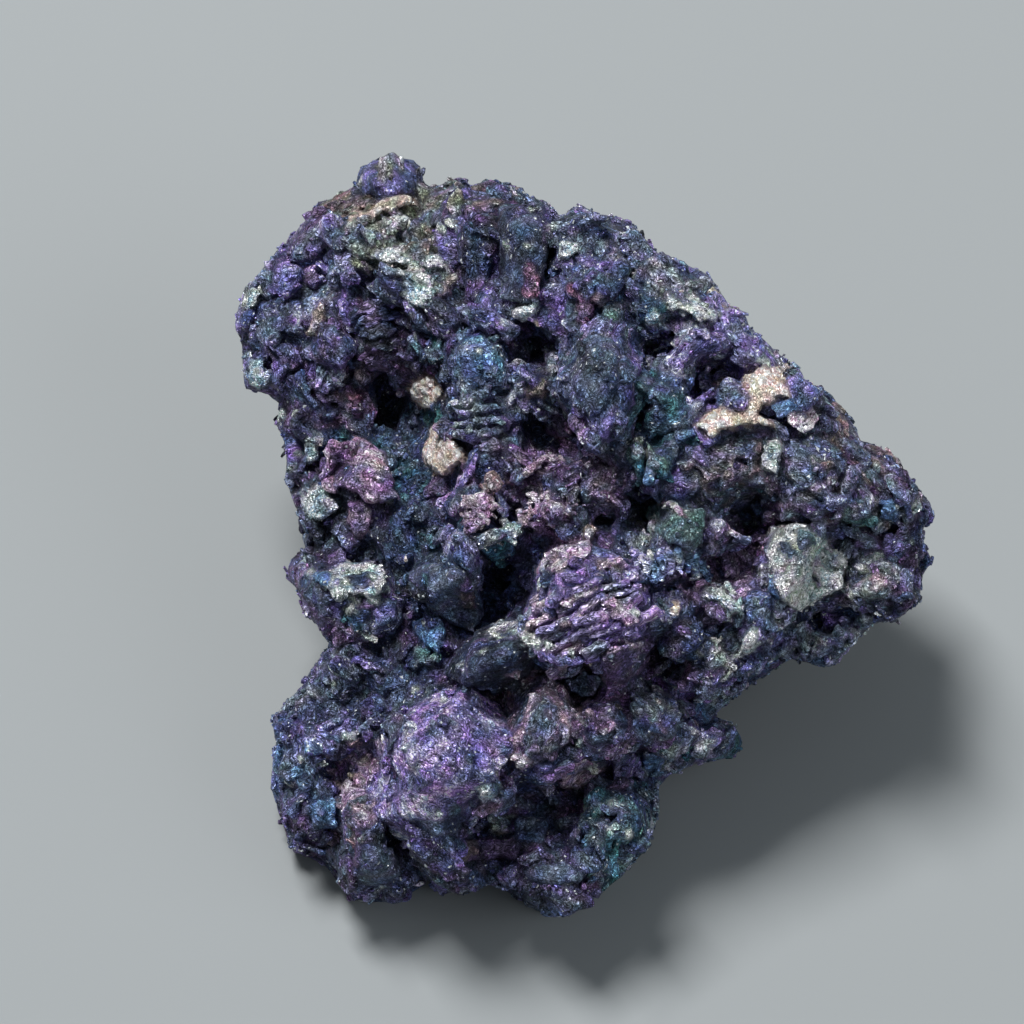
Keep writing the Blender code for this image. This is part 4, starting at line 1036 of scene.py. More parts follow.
def bundle(mass):
    """Parallel broken ridges that rise to the right, with plates above and below."""
    mass.mound("bundle", (
        (0.8, -6.7), (2.2, -5.9), (3.9, -5.3), (5.2, -4.9), (7.2, -4.5), (8.9, -4.9), (9.2, -5.9),
        (9.2, -7.2), (8.9, -8.5), (7.5, -8.9), (5.9, -9.5), (4.5, -9.7), (3.5, -8.9), (2.5, -9.2),
        (1.9, -8.5), (1.2, -7.7),
    ), 0.8, 0.6, 0.8, turn=26)
    ridge_turn = 26
    rise = math.radians(ridge_turn)
    rows, row_gap, part_gap = 8, 0.66, 2.5
    for row in range(rows):
        off_middle = row - (rows - 1) / 2
        drop = row_gap * off_middle
        slide = 0.6 * math.sin(2.4 * row)
        for part in (-1, 0, 1):
            reach = part_gap * part + slide
            across = 5.1 + reach * math.cos(rise) + drop * math.sin(rise)
            up = -7.0 + reach * math.sin(rise) - drop * math.cos(rise)
            out = 0.85 + 0.3 * math.sin(1.9 * row + 2.3 * part)
            long = 2.6 - 0.06 * abs(off_middle) ** 2 + 0.5 * math.sin(3.1 * row + 1.7 * part)
            turn = ridge_turn + 5 * math.sin(2.7 * row + 4.1 * part)
            mass.grow(block_shape, (across, up, out), (long, 0.42, 1.4), "bundle", turn=turn, tip=-25)
    # Thin pink strips along the ridges: painted highlights on their upper edges.
    for across, up, long in ((2.3, -6.0, 2.2), (4.6, -5.7, 2.4), (7.0, -6.6, 2.6), (3.9, -7.3, 1.6)):
        mass.perch(block_shape, (across, up, 0.0), (long, 0.28, 0.4), "pink", turn=ridge_turn)
    mass.knobs("silver", ((8.1, -6.6, 0.7, 0.4), (3.9, -9.4, 0.6, 0.3), (2.6, -8.7, 0.5, 0.3)), 0.1)
    mass.mound("violet", (
        (1.7, -5.3), (1.7, -4.0), (2.4, -3.3), (3.7, -2.5), (5.1, -2.3), (5.9, -2.5), (7.2, -2.9),
        (8.5, -3.7), (8.5, -4.5), (6.5, -4.7), (5.2, -4.9), (3.9, -5.5), (2.5, -5.9),
    ), 1.5, 0.5, 0.6, turn=26, slope=(0, -0.2))
    mass.mound("pink", (
        (1.5, -3.9), (2.3, -2.9), (3.6, -2.1), (5.1, -2.0), (5.2, -2.8), (4.1, -3.3), (2.7, -4.1),
    ), 2.1, 0.3, 0.3, turn=26, slope=(0, -0.3))
    mass.mound("orchid", ((3.1, -3.9), (4.9, -3.2), (5.1, -4.4), (3.7, -5.1), (2.6, -4.8)), 1.9, 0.3, 0.4)
    mass.mound("rust", (
        (5.5, -3.3), (7.2, -3.1), (8.3, -3.9), (8.2, -4.4), (6.3, -4.5), (5.4, -4.2),
    ), 1.5, 0.4, 0.5)
    mass.mound("plum", ((8.9, -6.3), (10.2, -6.5), (11.3, -7.4), (10.6, -8.8), (9.3, -8.9)), 1.0)
    mass.mound("smooth plum", (
        (5.9, -10.2), (6.2, -9.5), (7.5, -8.9), (8.7, -8.7), (9.2, -9.2), (8.9, -10.4), (7.9, -11.2),
        (6.7, -11.5), (6.0, -11.1),
    ), 1.5, 0.5, 0.5, turn=20, slope=(0, 0.1))
    mass.mound("rose", ((6.2, -9.6), (7.5, -8.8), (8.8, -8.6), (8.7, -9.0), (7.5, -9.3)), 1.8, 0.2, 0.3)
    mass.knobs("cream", ((5.6, -10.2, 0.6, 0.8),), 0.15)
    mass.mound("smooth plum", (
        (3.5, -11.0), (4.8, -10.7), (5.9, -11.1), (5.5, -12.2), (4.0, -12.2),
    ), 1.1, 0.5, 0.5)


def disc(mass):
    """A dark lens with a silver rim along its upper right edge, partly a painted highlight."""
    mass.mound("smooth night", (
        (-4.4, -10.7), (-3.6, -9.3), (-2.6, -8.5), (-1.8, -7.7), (-0.2, -7.1), (1.1, -7.6),
        (1.8, -8.6), (1.8, -9.5), (0.9, -11.0), (-1.2, -12.1), (-2.8, -11.5),
    ), 1.6, 0.3, 0.4, turn=27, slope=(0.03, -0.06))
    # The silver rim: partly bare metal, partly a painted highlight where the light falls on the top.
    mass.mound("silver", (
        (-1.9, -7.8), (-0.8, -7.2), (0.2, -7.1), (1.1, -7.6), (1.8, -8.5), (1.8, -9.3), (1.3, -9.6),
        (0.9, -8.9), (0.4, -8.2), (-0.5, -7.9), (-1.6, -8.2),
    ), 2.2, 0.3, 0.3, slope=(0, -0.5))
    mass.mound("olive", (
        (-1.6, -8.4), (-0.4, -8.1), (0.5, -8.7), (0.6, -9.5), (-0.6, -9.2), (-1.5, -9.2),
    ), 1.6, 0.3, 0.4)
    # Silver specks on the lens: painted glints.
    mass.knobs("silver", ((-3.2, -10.1, 0.6, 0.7), (-0.9, -8.5, 1.2, 0.25), (-2.2, -9.4, 0.6, 0.25)), 0.05)


def left_side(mass):
    """The left edge, farther from the eye: nuggets, a mauve leaf and a boxy crystal."""
    mass.mound("silver", (
        (-14.0, 5.1), (-13.3, 5.5), (-12.8, 4.8), (-12.9, 3.6), (-13.6, 3.3), (-13.8, 4.1),
    ), 1.0, 0.5, 0.6, slope=(0, -0.2))
    mass.mound("silver", (
        (-14.1, 1.7), (-13.3, 2.0), (-12.5, 1.5), (-11.8, 0.8), (-11.6, 0.3), (-12.1, -0.2),
        (-13.1, -0.5), (-13.9, -0.1), (-14.2, 0.5),
    ), 1.4, 0.4, 0.4, slope=(0, -0.5))
    mass.mound("mauve", (
        (-10.3, 5.0), (-9.3, 4.5), (-8.5, 3.8), (-8.1, 2.5), (-7.6, 0.9), (-8.5, 0.7), (-9.6, 0.7),
        (-10.7, 1.3), (-11.5, 1.5), (-12.5, 2.1), (-12.8, 2.9), (-12.7, 3.5), (-11.6, 4.0), (-10.7, 4.5),
    ), 1.5, 0.5, 0.6, turn=-30, slope=(0.03, -0.1))
    mass.mound("mauve", (
        (-10.8, 0.8), (-10.0, 0.9), (-9.3, 0.1), (-9.6, -0.9), (-10.1, -1.7), (-10.7, -1.2), (-11.1, -0.7),
    ), 0.9, 0.6, 0.7)
    mass.mound("plum", (
        (-15.0, -4.1), (-14.1, -3.2), (-12.5, -3.8), (-11.1, -3.2), (-9.1, -3.3), (-8.3, -4.5),
        (-8.0, -5.5), (-7.3, -5.9), (-7.3, -7.2), (-8.1, -8.2), (-10.1, -8.5), (-11.8, -8.9),
        (-12.9, -8.0), (-13.7, -6.8), (-14.6, -5.2),
    ), 1.2, 0.8, 0.9)
    # The bright ice top of the boxy crystal: partly a painted highlight, where light falls on it from above.
    mass.mound("ice", (
        (-13.6, -3.9), (-12.3, -4.0), (-11.1, -3.4), (-9.2, -3.5), (-8.4, -4.6), (-9.2, -5.5),
        (-11.2, -5.4), (-12.4, -5.0),
    ), 1.9, 0.3, 0.3, slope=(0, -0.5))
    mass.mound("smooth night", ((-11.2, -4.3), (-9.6, -4.1), (-9.0, -4.8), (-10.6, -5.3)), 2.0, 0.2, 0.3)
    mass.mound("smooth blue", ((-13.4, -4.0), (-12.2, -4.1), (-12.0, -4.9), (-13.0, -4.8)), 2.1, 0.3, 0.4)
    mass.mound("lavender", ((-12.2, -4.5), (-11.5, -4.4), (-11.4, -5.2), (-12.1, -5.1)), 2.1, 0.3, 0.4)
    mass.mound("teal", ((-11.3, -6.4), (-9.6, -6.3), (-9.3, -7.9), (-11.0, -8.2)), 1.5, 0.4, 0.5)
    mass.mound("violet", ((-9.3, -5.8), (-7.8, -5.9), (-7.6, -7.2), (-9.1, -7.5)), 1.5, 0.4, 0.5)
    mass.knobs("silver", (
        (-15.3, 6.3, 0.8, 0.8), (-14.3, 6.7, 0.6, 0.6), (-14.3, 4.0, 0.9, 0.6), (-14.8, 3.0, 0.8, 0.8),
        (-13.9, -3.4, 0.8, 0.7), (-11.4, -5.2, 0.8, 1.1), (-10.7, -5.7, 0.9, 0.6), (-10.0, -5.9, 0.7, 0.6),
        (-9.3, -5.7, 0.7, 0.7), (-11.0, -6.4, 0.6, 0.6), (-10.8, -3.4, 0.7, 0.4), (-10.1, -4.0, 0.6, 0.4),
        (-9.1, -4.2, 0.9, 0.4), (-8.5, -4.9, 0.5, 0.7), (-9.8, -8.2, 1.2, 0.35), (-8.3, 0.5, 0.5, 0.3),
    ), 0.1)


def bottom_left(mass):
    """The lower left: slate, blue and mauve crumbs around the domed rosette."""
    mass.mound("rosette", (
        (-7.7, -14.0), (-6.5, -12.9), (-5.5, -12.1), (-4.1, -11.7), (-2.1, -11.9), (-0.5, -13.5),
        (0.2, -15.1), (0.0, -16.2), (-0.5, -16.7), (-0.8, -18.5), (-2.8, -19.4), (-2.5, -21.5),
        (-4.8, -21.7), (-7.5, -21.9), (-8.8, -20.5), (-9.7, -19.1), (-8.7, -17.2), (-8.5, -15.5),
    ), 1.9, 1.6, 2.2, turn=-38)
    mass.mound("smooth slate", (
        (-6.6, -19.4), (-3.6, -19.2), (-2.8, -21.2), (-4.8, -21.5), (-7.2, -21.3),
    ), 2.0, 0.4, 0.6)
    for across, up, long in ((-6.7, -14.5, 1.4), (-4.2, -14.0, 1.3), (-4.9, -13.2, 1.0), (-2.7, -13.9, 1.2)):
        mass.perch(block_shape, (across, up, 0.0), (long, 0.3, 0.35), "lavender", turn=-30)
    mass.mound("druse", ((-2.5, -17.9), (-0.8, -17.9), (-0.6, -19.2), (-2.2, -19.5)), 1.7)
    mass.knobs("lavender", ((-1.6, -19.2, 0.8, 0.6), (-6.5, -18.7, 1.0, 0.4), (-8.6, -17.6, 0.5, 0.9)), 0.1)
    mass.knobs("silver", ((-5.1, -19.9, 0.5, 0.4), (-4.4, -12.6, 0.6, 0.3), (-1.0, -16.8, 0.4, 0.3)), 0.1)
    mass.mound("smooth rust", (
        (-6.5, -22.0), (-2.3, -21.9), (-2.1, -23.2), (-4.5, -23.6), (-6.4, -23.1),
    ), 0.9, 0.6, 0.6)
    mass.mound("smooth plum", ((-2.2, -21.9), (0.5, -21.9), (0.4, -23.1), (-2.0, -23.2)), 0.9, 0.6, 0.6)
    mass.pit((-6.7, -23.2, 0.0), (0.9, 1.9, 2.8))
    mass.pit((-3.9, -23.75, 0.0), (3.2, 0.5, 2.2))
    mass.mound("dark", ((-5.5, -24.0), (-2.3, -23.9), (-2.1, -24.9), (-3.8, -25.6), (-5.3, -25.0)), 0.7)
    mass.mound("smooth slate", (
        (-12.5, -22.4), (-10.2, -21.9), (-7.8, -22.3), (-7.4, -24.4), (-9.0, -25.2), (-11.6, -24.6),
    ), 1.2, 0.7, 0.8, turn=15)
    mass.knobs("silver", (
        (-11.1, -24.1, 0.4, 0.4), (-8.8, -25.2, 0.5, 0.4), (-9.9, -26.0, 0.4, 0.4), (-7.4, -26.3, 0.5, 0.4),
        (-3.3, -25.1, 0.5, 0.5), (-14.9, -17.9, 0.9, 0.9), (-14.6, -19.0, 0.6, 0.6), (-14.3, -22.0, 0.5, 0.5),
        (-12.0, -10.2, 0.5, 0.5), (-11.6, -11.3, 0.8, 0.9), (-8.8, -11.5, 0.8, 0.6), (-6.6, -11.9, 0.5, 0.5),
        (-9.5, -14.2, 0.4, 0.9), (-9.9, -22.0, 0.4, 0.3),
    ), 0.1)
    mass.mound("dusky", ((-11.1, -17.9), (-9.3, -18.6), (-9.2, -20.8), (-10.5, -21.6), (-11.3, -20.0)), 0.9)
    mass.mound("violet", ((-11.2, -21.1), (-9.9, -21.3), (-9.9, -22.2), (-11.1, -22.2)), 1.1)
    mass.mound("smooth blue", (
        (-13.5, -19.2), (-11.8, -19.3), (-11.7, -21.0), (-13.3, -21.2),
    ), 1.0, 0.6, 0.7)
    mass.mound("ribbed blue", (
        (-14.1, -15.2), (-12.8, -14.6), (-11.5, -14.8), (-11.3, -15.8), (-12.6, -16.3), (-13.9, -16.2),
    ), 1.2, 0.6, 0.7, turn=-32)
    mass.knobs("ice", ((-10.7, -15.1, 0.5, 1.2), (-12.8, -16.5, 0.7, 0.5), (-14.1, -16.6, 0.7, 0.5)), 0.1)
    mass.perch(ring_shape, (-15.2, -14.1, 0.0), (0.9, 0.9, 0.3), "grey")
    mass.mound("slate", ((-13.4, -9.9), (-11.0, -9.4), (-10.0, -11.0), (-11.2, -12.6), (-13.3, -12.4)), 0.8)
    mass.mound("dark", ((-9.8, -9.6), (-7.4, -9.3), (-6.9, -11.2), (-8.6, -12.4), (-9.9, -11.4)), 0.7)
    mass.knobs("rust", ((-10.1, -14.0, 0.5, 0.4),))


def bottom_right(mass):
    """The lower right: a mauve crackled lump, smooth lobes, a finger and dark gaps."""
    mass.mound("dusky", (
        (-0.5, -11.9), (0.5, -11.2), (2.2, -10.9), (3.5, -11.9), (4.2, -13.2), (3.9, -15.2),
        (2.9, -15.9), (1.9, -16.9), (0.2, -17.2), (-0.1, -15.2), (-0.5, -13.5),
    ), 1.2, 1.1, 1.3, turn=60)
    mass.mound("mauve", ((3.1, -14.0), (3.9, -14.1), (3.9, -15.4), (3.1, -15.5)), 1.4, 0.3, 0.4)
    mass.mound("pink", ((-0.1, -16.1), (0.9, -16.0), (1.3, -16.6), (0.4, -17.0)), 1.2, 0.3, 0.4)
    mass.mound("smooth violet", ((1.5, -16.8), (2.9, -16.7), (3.0, -18.0), (1.7, -18.2)), 1.1, 0.6, 0.6)
    mass.mound("mauve", (
        (3.1, -16.6), (5.0, -16.5), (5.9, -17.4), (4.8, -18.4), (3.2, -18.3),
    ), 0.9, 0.6, 0.7)
    mass.mound("plum", ((4.6, -12.7), (7.0, -12.5), (7.9, -14.1), (7.0, -15.6), (5.0, -15.6)), 0.9, 1.0)
    mass.mound("slate", ((8.2, -11.8), (10.6, -12.3), (11.0, -14.2), (9.0, -15.0), (7.9, -13.6)), 0.9, 1.0)
    mass.mound("violet", ((6.5, -16.2), (8.4, -16.2), (8.6, -17.6), (6.8, -17.9)), 1.0, 0.7)
    mass.mound("smooth blue", ((8.6, -16.0), (10.3, -16.2), (10.2, -17.3), (8.8, -17.6)), 1.0, 0.7)
    mass.mound("teal", (
        (11.9, -14.2), (13.6, -14.1), (15.0, -14.5), (15.3, -15.5), (14.6, -16.3), (12.9, -16.5),
        (11.6, -15.9),
    ), 0.9, 0.9)
    mass.pit((7.2, -18.5, 0.0), (3.8, 0.6, 2.6))
    mass.mound("cold", (
        (6.2, -19.0), (8.9, -18.8), (9.6, -20.4), (8.9, -22.4), (7.2, -23.3), (5.9, -21.8),
    ), 0.9, 1.0, 1.2)
    mass.pit((6.3, -20.2, 0.0), (2.2, 0.6, 2.2))
    mass.knobs("silver", (
        (5.2, -14.9, 0.5, 0.7), (4.7, -15.4, 0.4, 0.4), (5.2, -17.1, 0.5, 0.6), (6.9, -19.4, 0.7, 0.5),
        (8.3, -20.2, 0.5, 0.3), (7.6, -21.4, 0.4, 0.5), (2.7, -22.2, 0.6, 0.3), (4.2, -23.7, 0.5, 0.3),
        (5.5, -23.3, 0.4, 0.4), (3.2, -25.4, 0.7, 0.2), (2.5, -26.1, 0.7, 0.2), (4.6, -14.3, 0.35, 0.3),
    ), 0.05)
    mass.mound("slate", ((3.8, -20.2), (5.2, -20.3), (5.1, -21.5), (3.9, -21.5)), 1.0)
    mass.mound("smooth slate", ((0.2, -20.5), (2.2, -20.5), (2.2, -21.8), (0.4, -21.9)), 1.0, 0.5, 0.5)
    mass.mound("olive", ((-1.5, -20.4), (-0.2, -20.5), (-0.2, -21.4), (-1.4, -21.4)), 0.9)
    mass.mound("smooth slate", (
        (0.3, -24.0), (1.4, -23.3), (3.4, -23.2), (5.2, -23.5), (6.0, -24.6), (5.3, -26.3),
        (4.0, -26.8), (2.2, -26.9), (0.8, -26.2),
    ), 1.3, 1.4, 1.8, turn=-10)


def strew(mass):
    """Sets small plates and nuggets on the surface, as many as each look has.

    There are fewer on the back and on landmarks, and those on landmarks are smaller.
    """
    draw = np.random.default_rng(5)
    back_out, back_share, landmark_share, landmark_size = -14.0, 0.6, 0.5, 0.7
    unevenness, size_spread, plate_share = 0.55, 0.35, 0.7
    surface = np.argwhere((mass.field < 0) & (mass.field > -STEP))
    look = mass.shape_parts(2)[mass.owner[tuple(surface.T)]]
    chance = look_values(look, "plates") * STEP * STEP
    places = mass.low + surface * STEP
    chance[places[:, 2] < back_out] *= back_share
    chance[mass.owner[tuple(surface.T)] >= len(ZONES)] *= landmark_share
    spots = np.flatnonzero(draw.random(len(surface)) < chance)
    for spot in draw.permutation(spots):
        step = surface[spot]
        around = mass.field[tuple(slice(max(part - 2, 0), part + 3) for part in step)]
        slope = np.array([part.mean() for part in np.gradient(around)])
        facing = slope / max(np.linalg.norm(slope), 1e-6) + unevenness * draw.normal(size=3)
        facing /= np.linalg.norm(facing)
        grain = np.cross(facing, draw.normal(size=3))
        grain /= np.linalg.norm(grain)
        axes = np.stack([grain, np.cross(facing, grain), facing], axis=1)
        name = LOOK_NAMES[look[spot]]
        long = LOOKS[name].plate_size * draw.lognormal(0.0, size_spread)
        if mass.owner[tuple(step)] >= len(ZONES):
            long *= landmark_size
        middle = places[spot] + facing * draw.uniform(-0.05, 0.2)
        if draw.random() < plate_share:
            size = (long, long * draw.uniform(0.45, 0.9), draw.uniform(0.35, 0.6))
            mass.stamp(plate_shape, middle, size, name, axes)
        else:
            size = (0.9 * long, long * draw.uniform(0.5, 0.8), long * draw.uniform(0.35, 0.6))
            mass.stamp(lump_shape, middle, size, name, axes)


def node_mesh():
    """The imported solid's points, as places on the face, and its triangles."""
    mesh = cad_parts[NODE].data
    mesh.calc_loop_triangles()
    points = np.empty(len(mesh.vertices) * 3, np.float32)
    mesh.vertices.foreach_get("co", points)
    triangles = np.empty(len(mesh.loop_triangles) * 3, np.int32)
    mesh.loop_triangles.foreach_get("vertices", triangles)
    return to_face(points.reshape(-1, 3).astype(float)), triangles.reshape(-1, 3)


def floor_height(up, out):
    """How high over the floor places on the face are, in millimetres."""
    nearness = (EYE_DISTANCE - out) / EYE_DISTANCE
    return FACE_MIDDLE[2] + up * nearness * UP_FACE[2] + out * OFF_FACE[2]


def trim(mass):
    """Ends the solid near the outline of the face, and at the floor that it rests on."""
    overhang, over_floor = 0.1, 0.02
    across, up = mass.face_places((slice(None), slice(None)))
    edge = mass.beyond - overhang + waves(across, up, *EDGE_SWAY, 77)
    mass.field = np.maximum(mass.field, edge[..., None].astype(np.float32))
    height = floor_height(mass.axis_places(1)[None, :, None], mass.axis_places(2)[None, None, :])
    mass.field = np.maximum(mass.field, (over_floor - height).astype(np.float32))


LANDMARKS = (
    top_left, top_middle, top_right, tongue, cracked_patch, right_wing, below_the_crack, middle,
    blades, bundle, disc, left_side, bottom_left, bottom_right,
)


def grown_mass():
    """The whole solid on its grid."""
    points, triangles = node_mesh()
    mass = Mass(points.min(axis=0) - ROOM, points.max(axis=0) + ROOM)
    add_core(mass, points, triangles)
    add_matrix(mass)
    lay_zones(mass)
    mass.keep_level()
    for add_landmark in LANDMARKS:
        add_landmark(mass)
    strew(mass)
    trim(mass)
    return mass


def skin_of(field):
    """The skin where the field changes sign: points in grid steps, and four-sided faces."""
    inside = field < 0
    counts = np.array(field.shape)
    filled = np.zeros(counts - 1, np.uint8)
    corners = [(a, b, c) for a in (0, 1) for b in (0, 1) for c in (0, 1)]
    for a, b, c in corners:
        filled += inside[a : counts[0] - 1 + a, b : counts[1] - 1 + b, c : counts[2] - 1 + c]
    cells = np.argwhere((filled > 0) & (filled < 8))
    index = np.full(counts - 1, -1, np.int32)
    index[tuple(cells.T)] = np.arange(len(cells))
    values = {corner: field[tuple((cells + corner).T)] for corner in corners}
    total = np.zeros((len(cells), 3))
    crossings = np.zeros(len(cells))
    for start in corners:
        for axis in range(3):
            if start[axis]:
                continue
            end = tuple(1 if i == axis else start[i] for i in range(3))
            a, b = values[start], values[end]
            crosses = (a < 0) != (b < 0)
            share = np.where(crosses, a / np.where(crosses, a - b, 1), 0)
            place = np.array(start, float) + np.outer(share, np.eye(3)[axis])
            total += place * crosses[:, None]
            crossings += crosses
    points = cells + total / crossings[:, None]
    faces = []
    for axis in range(3):
        side, other = (axis + 1) % 3, (axis + 2) % 3
        upper = [slice(1, -1)] * 3
        upper[axis] = slice(1, None)
        lower = [slice(1, -1)] * 3
        lower[axis] = slice(0, -1)
        change = inside[tuple(lower)].astype(np.int8) - inside[tuple(upper)]
        for sign in (1, -1):
            edges = np.argwhere(change == sign)
            edges[:, side] += 1
            edges[:, other] += 1
            step_side = np.eye(3, dtype=int)[side]
            step_other = np.eye(3, dtype=int)[other]
            ring = [edges - step_side - step_other, edges - step_other, edges, edges - step_side]
            quad = np.stack([index[tuple(part.T)] for part in ring], axis=1)
            faces.append(quad if sign == 1 else quad[:, ::-1])
    return points, np.concatenate(faces)


def face_normals(points, faces):
    """Each four-sided face's normal, whose length is its area."""
    across = points[faces[:, 2]] - points[faces[:, 0]]
    along = points[faces[:, 3]] - points[faces[:, 1]]
    return np.cross(across, along) / 2


def point_normals(points, faces):
    """Each point's normal, from the faces round it."""
    normals = face_normals(points, faces)
    total = np.zeros_like(points)
    for corner in range(faces.shape[1]):
        for axis in range(3):
            total[:, axis] += np.bincount(faces[:, corner], normals[:, axis], len(points))
    return total / np.maximum(np.linalg.norm(total, axis=1, keepdims=True), 1e-9)


def largest_part(points, faces):
    """Leaves out islands: only the connected part with the most points stays."""
    label = np.arange(len(points))
    edges = np.concatenate([faces[:, (0, 1)], faces[:, (1, 2)], faces[:, (2, 3)]])
    while len(edges):
        high = edges.max(axis=1)
        label[high] = edges.min(axis=1)
        while True:
            nearer = label[label]
            if np.array_equal(nearer, label):
                break
            label = nearer
        edges = label[edges]
        edges = edges[edges[:, 0] != edges[:, 1]]
    kept = label == np.bincount(label).argmax()
    renumbered = np.cumsum(kept) - 1
    return points[kept], renumbered[faces[kept[faces[:, 0]]]]


@dataclass
class Skin:
    """A skin's points and faces, and for each point the shape that it belongs to, its look,
    its place on that shape, the direction of its grain, and its colour once it is known."""

    points: np.ndarray
    faces: np.ndarray
    normals: np.ndarray
    owner: np.ndarray
    look: np.ndarray
    local: np.ndarray
    grain: np.ndarray
    tarnish_and_painted_light: np.ndarray = None


def marked_skin(mass):
    """The skin of the grown mass, with what each point needs to know."""
    steps, faces = skin_of(mass.field)
    steps, faces = largest_part(steps, faces)
    owner = mass.owner[tuple(np.rint(steps).astype(int).T)].astype(int)
    points = mass.low + steps * STEP
    middles, axes, look = (mass.shape_parts(part)[owner] for part in range(3))
    local = np.einsum("ni,nij->nj", points - middles, axes)
    normals = point_normals(points, faces)
    return Skin(points, faces, normals, owner, look, local, axes[:, :, 0])


def look_values(look, name):
    """One value of each point's look."""
    return np.array([getattr(LOOKS[each], name) for each in LOOK_NAMES])[look]


def neighbour_mean(values, faces):
    """The mean of each point's values over the faces round it."""
    middle_values = values[faces].mean(axis=1)
    total = np.zeros_like(values)
    for corner in range(4):
        for column in range(values.shape[1]):
            weights = middle_values[:, column]
            total[:, column] += np.bincount(faces[:, corner], weights, len(values))
    count = np.bincount(faces.ravel(), minlength=len(values))
    return total / np.maximum(count, 1)[:, None]


def crack_depth(points):
    """0 in the cracks between the pale plates, and 1 on the plates."""
    crack_width = 0.25
    return np.minimum(cell_depth(points / CRACKED_PLATE, 12) / crack_width, 1)


def roughen(skin):
    """Moves the skin's points in and out: crinkles, ribs, foil or cracks. The foot stays as it is."""
    fine_pace, pit_pace, foil_fold, foot = 2.3, 2.4, 0.55, 0.4
    relief = look_values(skin.look, "relief")
    own = hashed(np.stack([skin.owner, skin.owner, skin.owner], axis=1), 4)[:, None] * 40
    stretched = (skin.local + own) * CRINKLE_PACE
    crinkles = ridges(stretched, 5) + 0.5 * ridges(stretched * fine_pace, 6) - 0.9
    ribs = ridges((skin.local + own) * RIB_PACE, 7) - 0.6
    pitted = smooth_noise(skin.points * pit_pace, 8) - 0.5
    cracks = np.zeros(len(skin.points))
    split = relief == "cracked"
    cracks[split] = crack_depth(skin.points[split]) - 0.8
    lift = crinkles + 0.5 * pitted
    other_reliefs = {
        "ribs": 1.3 * ribs + 0.5 * crinkles,
        "foil": 1.2 * ridges(skin.points / foil_fold, 9) + 0.8 * pitted - 0.8,
        "cracked": 1.3 * cracks + 0.7 * pitted,
    }
    for name, pattern in other_reliefs.items():
        lift = np.where(relief == name, pattern, lift)
    lift *= look_values(skin.look, "height")
    lift[floor_height(skin.points[:, 1], skin.points[:, 2]) < foot] = 0
    skin.points = skin.points + skin.normals * lift[:, None]
    skin.normals = point_normals(skin.points, skin.faces)


def colours_of(skin):
    """A tarnish colour for each point: soft patches of its look's own colours.

    Each shape has its own tone; crests are brighter, a painted highlight, and hollows are darker, a painted
    shade.
    """
    patch_size, foil_patch_size, contrast = 1.1, 0.45, 12
    crest_height, crest_highlight, hollow_shade = 0.05, 0.5, 0.4
    own = np.stack([skin.owner, skin.owner + 7, skin.owner + 13], axis=1)
    colour = np.zeros_like(skin.points)
    for number, name in enumerate(LOOK_NAMES):
        here = np.flatnonzero(skin.look == number)
        if not len(here):
            continue
        total = np.zeros((len(here), 1))
        patch = foil_patch_size if LOOKS[name].relief == "foil" else patch_size
        for count, (each, share) in enumerate(LOOKS[name].colours):
            soft = smooth_noise(skin.points[here] / patch + 17.3 * count, 41)
            pick = 0.75 * soft + 0.35 * hashed(own[here], 43 + count)
            weight = (share * np.exp(contrast * pick))[:, None]
            colour[here] += weight * np.array(PALETTE[each])
            total += weight
        colour[here] /= total
        # Darker in the cracks between the pale plates: a painted shade.
        if LOOKS[name].relief == "cracked":
            colour[here] *= 0.45 + 0.55 * crack_depth(skin.points[here])[:, None]
    tone_and_painted_light = 0.82 + 0.36 * hashed(own, 47)
    # Crests get a painted highlight and hollows a painted shade, by how the skin bends.
    bend = skin.points - neighbour_mean(neighbour_mean(skin.points, skin.faces), skin.faces)
    crest = np.clip(np.einsum("ij,ij->i", bend, skin.normals) / crest_height, -1, 1)
    tone_and_painted_light *= 1 + np.where(crest > 0, crest_highlight, hollow_shade) * crest
    return neighbour_mean(colour * tone_and_painted_light[:, None], skin.faces)


def mesh_object(name, points, faces, material):
    """An object from places on the face and lists of faces, one list for each number of sides."""
    mesh = bpy.data.meshes.new(name)
    mesh.vertices.add(len(points))
    mesh.vertices.foreach_set("co", to_world(points).astype(np.float32).ravel())
    loops = np.concatenate([part.ravel() for part in faces])
    totals = np.concatenate([np.full(len(part), part.shape[1]) for part in faces])
    starts = np.concatenate([[0], np.cumsum(totals)[:-1]])
    mesh.loops.add(len(loops))
    mesh.loops.foreach_set("vertex_index", loops.astype(np.int32))
    mesh.polygons.add(len(totals))
    mesh.polygons.foreach_set("loop_start", starts.astype(np.int32))
    mesh.update(calc_edges=True)
    mesh.materials.append(material)
    thing = bpy.data.objects.new(name, mesh)
    bpy.context.scene.collection.objects.link(thing)
    return thing


def set_attribute(thing, name, kind, domain, values):
    """Stores values with each point or face, for the material."""
    attribute = thing.data.attributes.new(name, kind, domain)
    field = {"FLOAT_COLOR": "color", "FLOAT": "value", "FLOAT_VECTOR": "vector"}[kind]
    attribute.data.foreach_set(field, np.ascontiguousarray(values, np.float32).ravel())


def with_alpha(colour):
    """Colours no brighter than metal can be, with a full fourth channel."""
    return np.concatenate([np.clip(colour, 0, BRIGHTEST), np.ones((len(colour), 1))], axis=1)


def grain_stretch(look):
    """How fast the fine pattern changes along the grain, next to 1 across it."""
    relief = look_values(look, "relief")
    along = np.where(relief == "ribs", 0.36, np.where(relief == "cracked", 1.2, 0.8))
    return np.stack([along, np.ones(len(look)), np.ones(len(look))], axis=1)


